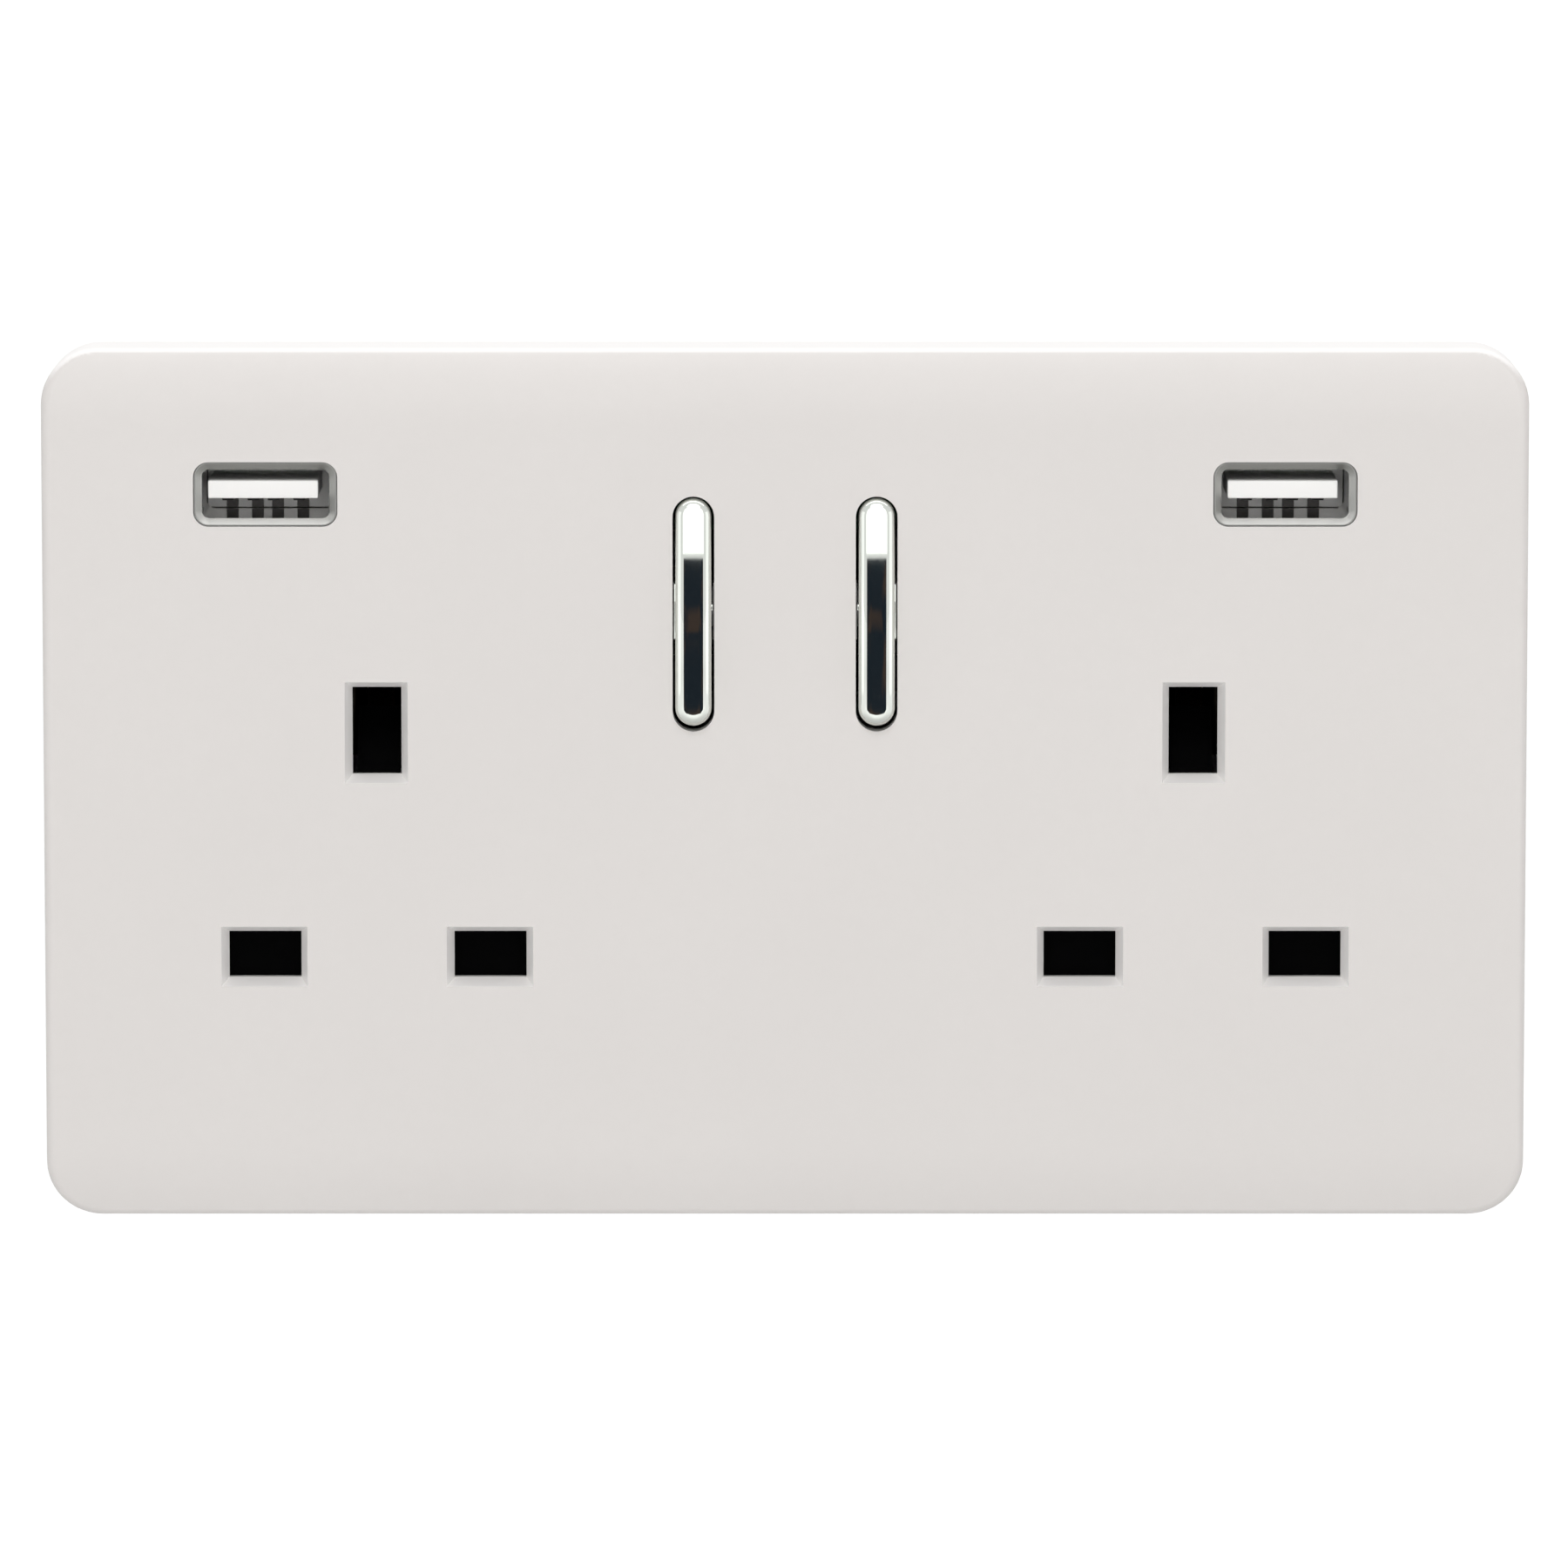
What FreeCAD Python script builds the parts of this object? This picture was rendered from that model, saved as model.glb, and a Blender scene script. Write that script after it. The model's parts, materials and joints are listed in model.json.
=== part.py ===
# Double switched wall socket with two charging ports, in millimetres.
# The wall plane is y = 0 and the face looks along -Y, with +Z up and +X to the right as seen from
# the front. The origin lies midway between the two fixing screws.

import FreeCAD, Part
import math
import os
import re

import Sketcher
from FreeCAD import Placement, Rotation, Vector

SIZES = {
    # Front plate
    "plate_width": 146.0,
    "plate_height": 86.0,
    "plate_stand": 9.5,
    "plate_corner": 5.5,
    "plate_skin": 2.2,
    "plate_wall": 2.2,
    "plate_edge_round": 0.9,
    "rim_gap": 0.3,
    "band_height": 4.0,
    "band_drop": 1.2,
    "band_blend": 20.0,
    "band_inset": 1.1,
    "snap_arm_width": 8.0,
    "snap_arm_thick": 1.2,
    "snap_arm_spacing": 84.0,
    "snap_arm_inset": 2.8,
    "snap_arm_short": 1.0,
    "snap_window_gap": 0.4,
    # Socket outlets
    "gang_spacing": 80.4,
    "pin_pitch": 22.23,
    "pole_drop": 17.06,
    "pole_hole_width": 7.1,
    "pole_hole_height": 4.55,
    "earth_hole_width": 4.8,
    "earth_hole_height": 8.6,
    "hole_bevel": 0.7,
    "hole_step": 0.25,
    # Mounting frame
    "frame_gap": 0.4,
    "frame_corner": 4.0,
    "flange_thick": 3.0,
    "pocket_depth": 1.6,
    "pocket_rib": 1.0,
    "deck_side_step": 6.4,
    "deck_top_step": 5.9,
    "deck_corner": 3.5,
    "deck_skin": 2.4,
    "cover_gap": 0.3,
    "fixing_spacing": 120.6,
    "fixing_slot_width": 4.2,
    "fixing_slot_length": 7.0,
    "screw_well_radius": 5.0,
    # Rear housing
    "housing_side_step": 9.4,
    "housing_height": 66.8,
    "housing_depth": 24.0,
    "housing_wall": 1.6,
    "housing_floor": 2.2,
    "housing_corner": 3.0,
    "housing_edge_round": 1.2,
    "lug_notch_height": 13.0,
    "lug_notch_depth": 7.0,
    "feed_rest_height": 14.4,
    "pillar_spacing": 40.0,
    "pillar_inset": 2.9,
    "pillar_radius": 2.4,
    "pillar_foot_radius": 3.3,
    "assembly_screw_radius": 1.25,
    "assembly_head_radius": 2.3,
    "assembly_head_height": 1.6,
    "assembly_grip": 2.4,
    "driver_cross": 3.0,
    "screw_clearance": 0.08,
    # Shutters
    "shutter_play": 0.2,
    "shutter_thick": 1.6,
    "shutter_lap": 0.6,
    "shutter_width": 31.0,
    "shutter_travel": 5.8,
    "shutter_stem_width": 4.2,
    "earth_pin_height": 8.0,
    "ramp_margin": 0.35,
    "guide_gap": 0.3,
    "guide_width": 1.6,
    "retainer_thick": 1.4,
    "retainer_margin": 3.2,
    "shutter_spring_radius": 0.75,
    "shutter_wire_radius": 0.16,
    "shutter_spring_turns": 6.0,
    # Contacts
    "bar_thick": 0.8,
    "bar_width": 3.6,
    "pole_bar_depth": 9.8,
    "pole_fork_length": 9.6,
    "pole_fork_width": 5.6,
    "pole_grip": 3.5,
    "earth_bar_depth": 14.0,
    "earth_fork_length": 11.6,
    "earth_fork_width": 7.2,
    "earth_grip": 3.5,
    "fork_flare": 0.9,
    "fork_bow": 0.3,
    "neutral_bar_rise": -23.7,
    "link_rise": -10.2,
    "earth_bar_rise": 0.6,
    # Terminals
    "terminal_spacing": 20.0,
    "terminal_width": 8.0,
    "terminal_height": 9.6,
    "terminal_depth": 9.6,
    "terminal_bore_inset": 3.8,
    "terminal_bore_radius": 2.3,
    "terminal_bore_length": 8.0,
    "terminal_screw_radius": 1.9,
    "terminal_screw_gap": 0.3,
    "terminal_screw_out": 1.6,
    "terminal_head_radius": 2.8,
    "terminal_head_height": 2.0,
    "terminal_slot_width": 0.8,
    "terminal_slot_deep": 0.9,
    "terminal_access_radius": 3.3,
    "collar_wall": 1.0,
    "collar_stand": 0.7,
    # Rocker switches
    "rocker_spacing": 18.0,
    "rocker_rise": 16.9,
    "rocker_tilt": 3.5,
    "rocker_slot_width": 4.1,
    "rocker_slot_height": 23.2,
    "cap_width": 3.55,
    "cap_length": 22.4,
    "cap_stand": 1.6,
    "cap_sag": 0.5,
    "cap_root": 1.2,
    "cap_round": 0.9,
    "ear_stand": 0.14,
    "ear_sunk": 1.9,
    "ear_depth": 1.4,
    "ear_length": 5.4,
    "pivot_depth": 4.1,
    "pivot_radius": 0.9,
    "pivot_length": 8.0,
    "pivot_gap": 0.06,
    "lever_width": 3.1,
    "lever_length": 19.0,
    "lever_depth": 2.6,
    "stem_radius": 2.5,
    "stem_length": 13.5,
    "plunger_radius": 1.5,
    "plunger_gap": 0.06,
    "plunger_seat": 5.0,
    "plunger_spring_length": 4.4,
    "plunger_wire_radius": 0.22,
    "plunger_spring_turns": 4.0,
    "plunger_air": 0.25,
    "cheek_length": 5.6,
    "cheek_reach": 1.2,
    # Contact arms
    "arm_pivot_depth": 15.3,
    "arm_tilt": 6.0,
    "arm_length": 18.0,
    "arm_width": 4.0,
    "arm_thick": 0.8,
    "arm_seat": 0.1,
    "stud_radius": 1.4,
    "stud_height": 0.8,
    "stud_reach": 8.0,
    "stud_air": 0.3,
    "saddle_height": 3.3,
    "saddle_width": 3.2,
    "saddle_nose_radius": 0.4,
    # Charging ports
    "left_port_offset": 51.0,
    "right_port_offset": 49.1,
    "port_rise": 28.7,
    "port_mouth_width": 14.15,
    "port_mouth_height": 6.35,
    "port_mouth_corner": 1.5,
    "port_lip_width": 14.0,
    "port_lip_height": 6.2,
    "port_lip_depth": 1.0,
    "port_lip_corner": 1.4,
    "port_funnel": 0.6,
    "port_shell_width": 13.2,
    "port_shell_height": 5.5,
    "port_shell_wall": 0.35,
    "port_shell_corner": 1.05,
    "port_sunk": 0.3,
    "port_tongue_width": 10.8,
    "port_tongue_thick": 1.8,
    "port_tongue_rise": 0.7,
    "port_tongue_sunk": 0.9,
    "port_block_depth": 3.0,
    "port_leg_thick": 0.4,
    "port_contact_width": 1.15,
    "port_contact_thick": 0.25,
    "port_inner_pitch": 2.0,
    "port_outer_pitch": 7.0,
    # Charger board
    "board_depth": 5.2,
    "board_thick": 1.6,
    "board_width": 115.0,
    "board_foot": 12.5,
    "board_gap": 0.3,
    "board_notch_width": 31.0,
    "board_notch_top": 23.8,
    "part_row_rise": 20.0,
    "transformer_offset": 45.0,
    "transformer_width": 15.0,
    "transformer_height": 13.0,
    "transformer_depth": 12.0,
    "coil_width": 9.0,
    "coil_stand": 1.2,
    "input_can_offset": 30.0,
    "input_can_radius": 4.0,
    "input_can_length": 12.0,
    "output_can_offset": 21.0,
    "output_can_pitch": 7.6,
    "output_can_radius": 3.0,
    "output_can_length": 8.0,
    "chip_offset": 20.5,
    "chip_width": 6.0,
    "chip_height": 5.0,
    "chip_thick": 1.7,
    "choke_offset": 38.0,
    "choke_radius": 3.6,
    "choke_length": 6.5,
    "film_offset": 50.0,
    "film_width": 10.0,
    "film_height": 5.0,
    "film_depth": 9.0,
    "film_corner": 0.35,
}

SIDES = {"left": -1, "right": 1}
WORD = re.compile(r"[a-z][a-z_]*[a-z]")
POCKETS = 6
WIRE_SIDES = 6
OVERRUN = 1.0
HAIR = 0.01
PIECES = []

doc = FreeCAD.newDocument("usb_wall_socket")
sheet = doc.addObject("Spreadsheet::Sheet", "Sizes")
for row, (word, number) in enumerate(SIZES.items(), start=1):
    sheet.set(f"A{row}", word)
    sheet.set(f"B{row}", str(number))
    sheet.setAlias(f"B{row}", word)
doc.recompute()

# Depths that several pieces share, as formulas on the sheet
FACE = "(-plate_stand)"
PLATE_BACK = "(plate_skin - plate_stand)"
DECK_FRONT = "(plate_skin + cover_gap - plate_stand)"
DECK_BACK = f"({DECK_FRONT} + deck_skin)"
SHUTTER_FRONT = f"({DECK_BACK} + shutter_play)"
SHUTTER_BACK = f"({SHUTTER_FRONT} + shutter_thick)"
RETAINER_FRONT = f"({SHUTTER_BACK} + guide_gap)"
RETAINER_BACK = f"({RETAINER_FRONT} + retainer_thick)"
FLOOR_FRONT = "(housing_depth - housing_floor)"
PIVOT_Y = "(pivot_depth - plate_stand)"
FEED_FRONT = "(arm_pivot_depth + saddle_height)"
FIXED_STUD_BACK = ("(arm_pivot_depth - arm_seat - arm_thick - stud_height"
                   " - stud_reach * sin(arm_tilt) - stud_air)")
TERMINAL_FRONT = f"({FLOOR_FRONT} - terminal_depth)"
BORE_Y = f"({TERMINAL_FRONT} + terminal_bore_inset)"
BOARD_BACK = "(board_depth + board_thick)"
BLOCK_FRONT = "(board_depth - port_block_depth)"
PORT_FRONT = f"({FACE} + port_sunk)"

# Heights and widths that several pieces share
FRAME_WIDTH = "(plate_width - 2 * plate_wall - 2 * frame_gap)"
FRAME_HEIGHT = "(plate_height - 2 * plate_wall - 2 * frame_gap)"
HOUSING_WIDTH = f"({FRAME_WIDTH} - 2 * housing_side_step)"
ROOM_TOP = "(housing_height / 2 - housing_wall)"
ROOM_SIDE = f"({HOUSING_WIDTH} / 2 - housing_wall)"
EARTH_RISE = "(pin_pitch - pole_drop)"
POLE_RISE = "(-pole_drop)"
PILLAR_RISE = f"({ROOM_TOP} - pillar_inset)"
TERMINAL_FOOT = f"(-{ROOM_TOP} + board_gap)"
TERMINAL_TOP = f"({TERMINAL_FOOT} + terminal_height)"
SCREW_RISE = f"({TERMINAL_FOOT} + terminal_height / 2)"
DOOR_TOP = f"({POLE_RISE} + pole_hole_height / 2 + shutter_lap)"
DOOR_FOOT = f"({POLE_RISE} - pole_hole_height / 2 - shutter_lap)"
RAMP_FOOT = f"({EARTH_RISE} - earth_pin_height / 2 - ramp_margin)"
STUD_RISE = "(rocker_rise - stud_reach)"
TONGUE_RISE = "(port_rise + port_tongue_rise)"

# How far a plunger's tip lies from its rocker's pivot
PLUNGER_TIP = (f"(((arm_pivot_depth - {PIVOT_Y}) * cos(arm_tilt) - arm_seat - arm_thick)"
               " / cos(rocker_tilt + arm_tilt) - plunger_air)")


def gang_x(side, poles=0):
    """Centre of a gang, or of the pole hole that lies poles half pitches to its right."""
    return f"({side} * gang_spacing / 2 + {poles} * pin_pitch / 2)"


def size(word):
    return float(sheet.get(word))


def bind(target, path, formula):
    text = WORD.sub(lambda found: f"Sizes.{found.group()}" if found.group() in SIZES else found.group(),
                    str(formula))
    target.setExpression(path, text)


def move(target, x=0, y=0, z=0):
    for letter, formula in zip("xyz", (x, y, z)):
        bind(target, f"Placement.Base.{letter}", formula)


def box(name, x, y, z):
    """A box between pairs of low and high formulas."""
    solid = doc.addObject("Part::Box", name)
    for path, (low, high) in zip(("Length", "Width", "Height"), (x, y, z)):
        bind(solid, path, f"({high}) - ({low})")
    move(solid, x[0], y[0], z[0])
    return solid


def centred(middle, breadth):
    return f"{middle} - ({breadth}) / 2", f"{middle} + ({breadth}) / 2"


def rod(name, axis, radius, start, length, at):
    """A cylinder along one axis; at gives its centre on the other two axes and any value on its own."""
    turns = {"x": Rotation(Vector(0, 1, 0), 90), "y": Rotation(Vector(-1, 0, 0), 90), "z": Rotation()}
    solid = doc.addObject("Part::Cylinder", name)
    solid.Placement = Placement(Vector(), turns[axis])
    bind(solid, "Radius", radius)
    bind(solid, "Height", length)
    place = dict(zip("xyz", at))
    place[axis] = start
    move(solid, **place)
    return solid


def fuse(name, solids):
    result = doc.addObject("Part::MultiFuse", name)
    result.Shapes = solids
    result.Refine = True
    return result


def cut(name, base, tools):
    result = doc.addObject("Part::Cut", name)
    result.Base = base
    result.Tool = tools[0] if len(tools) == 1 else fuse(f"{name}_tools", tools)
    result.Refine = True
    return result


def plane_sketch(body, role, name):
    plane = next(part for part in body.Origin.OriginFeatures if part.Role == role)
    sketch = body.newObject("Sketcher::SketchObject", name)
    sketch.AttachmentSupport = [(plane, "")]
    sketch.MapMode = "FlatFace"
    return sketch


def join_ends(sketch, first, count):
    """Make a run of sides share their corners."""
    for side in range(count):
        following = first + (side + 1) % count
        sketch.addConstraint(Sketcher.Constraint("Coincident", first + side, 2, following, 1))


def centred_rectangle(sketch, width, height):
    corners = [Vector(-1, -1), Vector(1, -1), Vector(1, 1), Vector(-1, 1)]
    for start, end in zip(corners, corners[1:] + corners[:1]):
        sketch.addGeometry(Part.LineSegment(start, end), False)
    join_ends(sketch, 0, len(corners))
    for side, way in enumerate(("Horizontal", "Vertical", "Horizontal", "Vertical")):
        sketch.addConstraint(Sketcher.Constraint(way, side))
    sketch.addConstraint(Sketcher.Constraint("Symmetric", 0, 1, 1, 2, -1, 1))
    across = sketch.addConstraint(Sketcher.Constraint("DistanceX", 0, 1, 0, 2, 2.0))
    tall = sketch.addConstraint(Sketcher.Constraint("DistanceY", 1, 1, 1, 2, 2.0))
    bind(sketch, f"Constraints[{across}]", width)
    bind(sketch, f"Constraints[{tall}]", height)


def polygon(sketch, points, first):
    """Straight sides between corners that are each held by formulas."""
    count = len(points)
    guess = [Vector(math.cos(2 * math.pi * turn / count), math.sin(2 * math.pi * turn / count))
             for turn in range(count)]
    for start, end in zip(guess, guess[1:] + guess[:1]):
        sketch.addGeometry(Part.LineSegment(start, end), False)
    join_ends(sketch, first, count)
    for side, corner in enumerate(points):
        hold(sketch, first + side, corner, guess[side])


def hold(sketch, side, corner, guess):
    """Hold the start of a side at a pair of formulas."""
    for kind, formula, near in zip(("DistanceX", "DistanceY"), corner, guess):
        number = sketch.addConstraint(Sketcher.Constraint(kind, -1, 1, side, 1, near))
        bind(sketch, f"Constraints[{number}]", formula)


def edges_along(shape, direction):
    """Names of the straight edges that run along a direction."""
    names = []
    for number, edge in enumerate(shape.Edges, start=1):
        if edge.Curve.TypeId != "Part::GeomLine":
            continue
        if abs(edge.tangentAt(edge.FirstParameter).dot(direction)) > 1 - HAIR:
            names.append(f"Edge{number}")
    return names


def outline_edges(shape, faces):
    """Names of the edges that bound a group of joined faces."""
    counts = {}
    for face in faces:
        for edge in face.Edges:
            counts[edge.hashCode()] = counts.get(edge.hashCode(), 0) + 1
    return [f"Edge{number}" for number, edge in enumerate(shape.Edges, start=1)
            if counts.get(edge.hashCode()) == 1]


def edges_at_depth(shape, depth):
    """Names of the edges that lie in the plane at one depth."""
    return [f"Edge{number}" for number, edge in enumerate(shape.Edges, start=1)
            if abs(edge.BoundBox.YMin - depth) < HAIR and abs(edge.BoundBox.YMax - depth) < HAIR]


def round_edges(body, base, names, radius, name):
    feature = body.newObject("PartDesign::Fillet", name)
    feature.Base = (base, names)
    bind(feature, "Radius", radius)
    doc.recompute()
    return feature


def slab(name, width, height, y, corner, x="0", z="0"):
    """A block with rounded corners seen from the front, between two depths."""
    body = doc.addObject("PartDesign::Body", name)
    sketch = plane_sketch(body, "XZ_Plane", f"{name}_outline")
    bind(sketch, "AttachmentOffset.Base.x", x)
    bind(sketch, "AttachmentOffset.Base.y", z)
    bind(sketch, "AttachmentOffset.Base.z", f"-({y[1]})")
    centred_rectangle(sketch, width, height)
    pad = body.newObject("PartDesign::Pad", f"{name}_pad")
    pad.Profile = sketch
    bind(pad, "Length", f"({y[1]}) - ({y[0]})")
    doc.recompute()
    round_edges(body, pad, edges_along(pad.Shape, Vector(0, 1, 0)), corner, f"{name}_corners")
    return body


def piece(name, solid):
    """Give a finished piece its name."""
    solid.Label = name
    PIECES.append(solid)


def wedge(name, x, y, z, far_x, far_z):
    """A solid that tapers from one rectangle at its front to another at its back."""
    solid = doc.addObject("Part::Wedge", name)
    ends = {"X": x, "Y": y, "Z": z, "X2": far_x, "Z2": far_z}
    for letter, (low, high) in ends.items():
        bind(solid, f"{letter}min", low)
        bind(solid, f"{letter}max", high)
    return solid


def turned(target, angle, direction):
    """Tilt a piece about the X axis through its own origin."""
    target.Placement = Placement(Vector(), Rotation(Vector(direction, 0, 0), 1))
    bind(target, "Placement.Rotation.Angle", angle)


def helix_spring(name, radius, wire, turns, length):
    """A coil spring of many-sided wire that stands on its own origin along +Z."""
    pitch = (length - 2 * wire) / turns
    path = Part.makeHelix(pitch, pitch * turns, radius)
    angles = [2 * math.pi * side / WIRE_SIDES for side in range(WIRE_SIDES + 1)]
    corners = [Vector(radius + wire * math.cos(angle), 0, wire * math.sin(angle)) for angle in angles]
    feature = doc.addObject("Part::Feature", name)
    feature.Shape = Part.Wire(path).makePipeShell([Part.makePolygon(corners)], True, True)
    return feature


def spring_fork(name, length, grip, breadth, upright):
    """Two sprung leaves of folded strip that close on a plug pin, open towards -Y."""
    bow = grip / 2 + size("fork_bow")
    flare = grip / 2 + size("fork_flare")
    lead = 2 * size("fork_flare")
    profile = [(-length, flare), (lead - length, grip / 2), (-length / 3, bow), (0, bow)]
    profile += [(depth, -spread) for depth, spread in reversed(profile)]
    if upright:
        points = [Vector(-breadth / 2, depth, spread) for depth, spread in profile]
        sweep = Vector(breadth, 0, 0)
    else:
        points = [Vector(spread, depth, -breadth / 2) for depth, spread in profile]
        sweep = Vector(0, 0, breadth)
    strip = Part.makePolygon(points).makeOffset2D(size("bar_thick") / 2)
    feature = doc.addObject("Part::Feature", name)
    feature.Shape = Part.Face(strip).extrude(sweep)
    return feature


def front_plate():
    shell = slab("plate_shell", "plate_width", "plate_height", (FACE, "-rim_gap"), "plate_corner")
    blend = banded(shell)
    across = size("plate_width") / 2
    front = [face for face in blend.Shape.Faces
             if face.normalAt(0, 0).y < -HAIR and face.BoundBox.XLength > across]
    round_edges(shell, blend, outline_edges(blend.Shape, front), "plate_edge_round", "plate_edge")
    inner_corner = "plate_corner - plate_wall"
    width = "plate_width - 2 * plate_wall"
    height = "plate_height - 2 * plate_wall"
    cavity = slab("plate_cavity", width, height, (f"{PLATE_BACK} + band_inset", OVERRUN), inner_corner)
    well = slab("plate_well", width, "plate_height - 2 * band_height", (PLATE_BACK, "0"), inner_corner)
    opened = cut("plate_opened", shell, [cavity, well] + plate_openings())
    arms = []
    for name, x, z in snap_arms():
        depth = (f"{PLATE_BACK} - plate_skin / 2", "-snap_arm_short")
        arms.append(box(f"snap_arm_{name}", centred(x, "snap_arm_width"), depth,
                        centred(z, "snap_arm_thick")))
    piece("front_plate", fuse("plate_with_arms", [opened] + arms))


def banded(shell):
    """Roll the face back along the top and bottom edges."""
    sketch = plane_sketch(shell, "YZ_Plane", "plate_bands")
    for number, sign in enumerate((1, -1)):
        band = f"{sign} * (plate_height / 2 - band_height)"
        rim = f"{sign} * (plate_height / 2 + {OVERRUN})"
        sloped = f"{FACE} + band_drop * (1 + {OVERRUN} / band_height)"
        outside = f"{FACE} - {OVERRUN}"
        polygon(sketch, [(FACE, band), (sloped, rim), (outside, rim), (outside, band)], 4 * number)
    pocket = shell.newObject("PartDesign::Pocket", "plate_band_cut")
    pocket.Profile = sketch
    pocket.SideType = "Symmetric"
    pocket.Type = "Length"
    bind(pocket, "Length", f"plate_width + 2 * {OVERRUN}")
    doc.recompute()
    creases = [f"Edge{number}" for number, edge in enumerate(pocket.Shape.Edges, start=1)
               if len(edge.Vertexes) == 2 and edge.BoundBox.ZLength < HAIR
               and abs(edge.CenterOfMass.y + size("plate_stand")) < HAIR
               and edge.Length > size("plate_width") / 2]
    return round_edges(shell, pocket, creases, "band_blend", "plate_band_blend")


def plate_openings():
    """The bevelled pin holes, rocker slots and port mouths."""
    depth = (FACE, PLATE_BACK)
    tools = []
    for side, sign in SIDES.items():
        for hole, x, z, width, height in outlet_holes(sign):
            wide = centred(x, f"{width} + 2 * hole_bevel")
            tall = centred(z, f"{height} + 2 * hole_bevel")
            tools.append(wedge(f"plate_{hole}_{side}", wide, depth, tall,
                               centred(x, width), centred(z, height)))
        tools.append(slab(f"plate_slot_{side}", "rocker_slot_width", "rocker_slot_height", depth,
                          f"rocker_slot_width / 2 - {HAIR}", x=rocker_x(sign), z="rocker_rise"))
        tools.append(slab(f"plate_mouth_{side}", "port_mouth_width", "port_mouth_height", depth,
                          "port_mouth_corner", x=port_x(side), z="port_rise"))
    return tools


def snap_arms():
    """Name, middle and height of the plate's four snap arms."""
    reach = "(plate_height / 2 - plate_wall - snap_arm_inset)"
    return [(f"{level}_{side}", f"{sign} * snap_arm_spacing / 2", f"{up} * {reach}")
            for side, sign in SIDES.items() for level, up in (("top", 1), ("foot", -1))]


def outlet_holes(sign):
    """Name, centre and size of one gang's three pin holes."""
    pole = ("pole_hole_width", "pole_hole_height")
    return [("earth_hole", gang_x(sign), EARTH_RISE, "earth_hole_width", "earth_hole_height"),
            ("neutral_hole", gang_x(sign, -1), POLE_RISE, *pole),
            ("line_hole", gang_x(sign, 1), POLE_RISE, *pole)]


def rocker_x(sign):
    return f"({sign} * rocker_spacing / 2)"


def port_x(side):
    return f"({SIDES[side]} * {side}_port_offset)"


def beside(middle, away, near, far):
    """A low and high pair that lies between two distances on one side of a middle."""
    ends = (f"{middle} + {away} * ({near})", f"{middle} + {away} * ({far})")
    return ends if away > 0 else ends[::-1]


def pillars(levels=("top", "foot")):
    """Name, middle and height of the housing's screw pillars."""
    ups = {"top": 1, "foot": -1}
    return [(f"{level}_{side}", f"({sign} * pillar_spacing / 2)", f"({ups[level]} * {PILLAR_RISE})")
            for side, sign in SIDES.items() for level in levels]


def room(name, y):
    """The space inside the housing walls, drawn in where the wall box has its screw lugs."""
    space = slab(name, f"2 * {ROOM_SIDE}", f"2 * {ROOM_TOP}", y, "housing_corner - housing_wall")
    near = f"{HOUSING_WIDTH} / 2 - lug_notch_depth - housing_wall"
    depth = (f"{y[0]} - {OVERRUN}", f"{y[1]} + {OVERRUN}")
    tall = centred("0", "lug_notch_height + 2 * housing_wall")
    walls = [box(f"{name}_notch_{side}", beside("0", sign, near, f"{ROOM_SIDE} + {OVERRUN}"), depth, tall)
             for side, sign in SIDES.items()]
    return cut(f"{name}_space", space, walls)


def frame_openings(side, sign):
    """What passes through the frame on one side: fixing screw, pins, rocker, port and snap arms."""
    through = (f"{DECK_FRONT} - {OVERRUN}", f"{DECK_BACK} + {OVERRUN}")
    right_through = (f"{DECK_FRONT} - {OVERRUN}", OVERRUN)
    flange = (f"-flange_thick - {OVERRUN}", OVERRUN)
    fixing = f"{sign} * fixing_spacing / 2"
    tools = [rod(f"frame_well_{side}", "y", "screw_well_radius", through[0],
                 f"-flange_thick - ({through[0]})", (fixing, 0, 0)),
             slab(f"frame_slot_{side}", "fixing_slot_length", "fixing_slot_width", flange,
                  f"fixing_slot_width / 2 - {HAIR}", x=fixing),
             slab(f"frame_rocker_slot_{side}", "rocker_slot_width + 2 * hole_step",
                  "rocker_slot_height + 2 * hole_step", through,
                  f"rocker_slot_width / 2 + hole_step - {HAIR}", x=rocker_x(sign), z="rocker_rise"),
             slab(f"frame_port_{side}", "port_mouth_width", "port_mouth_height", right_through,
                  "port_mouth_corner", x=port_x(side), z="port_rise")]
    for hole, x, z, width, height in outlet_holes(sign):
        tools.append(box(f"frame_{hole}_{side}", centred(x, f"{width} + 2 * hole_step"), through,
                         centred(z, f"{height} + 2 * hole_step")))
    return tools


def flange_pockets():
    """Shallow pockets in the flange's back, above and below the housing, with ribs between."""
    pitch = f"(snap_arm_spacing - snap_arm_width - 2 * pocket_rib) / {POCKETS}"
    middle = f"({FRAME_HEIGHT} / 2 + housing_height / 2) / 2"
    tall = f"({FRAME_HEIGHT} - housing_height) / 2 - 2 * pocket_rib"
    return [box(f"flange_pocket_{level}_{step}",
                centred(f"{step - (POCKETS - 1) / 2} * {pitch}", f"{pitch} - pocket_rib"),
                ("-pocket_depth", OVERRUN), centred(f"{up} * {middle}", tall))
            for level, up in (("top", 1), ("foot", -1)) for step in range(POCKETS)]


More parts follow.
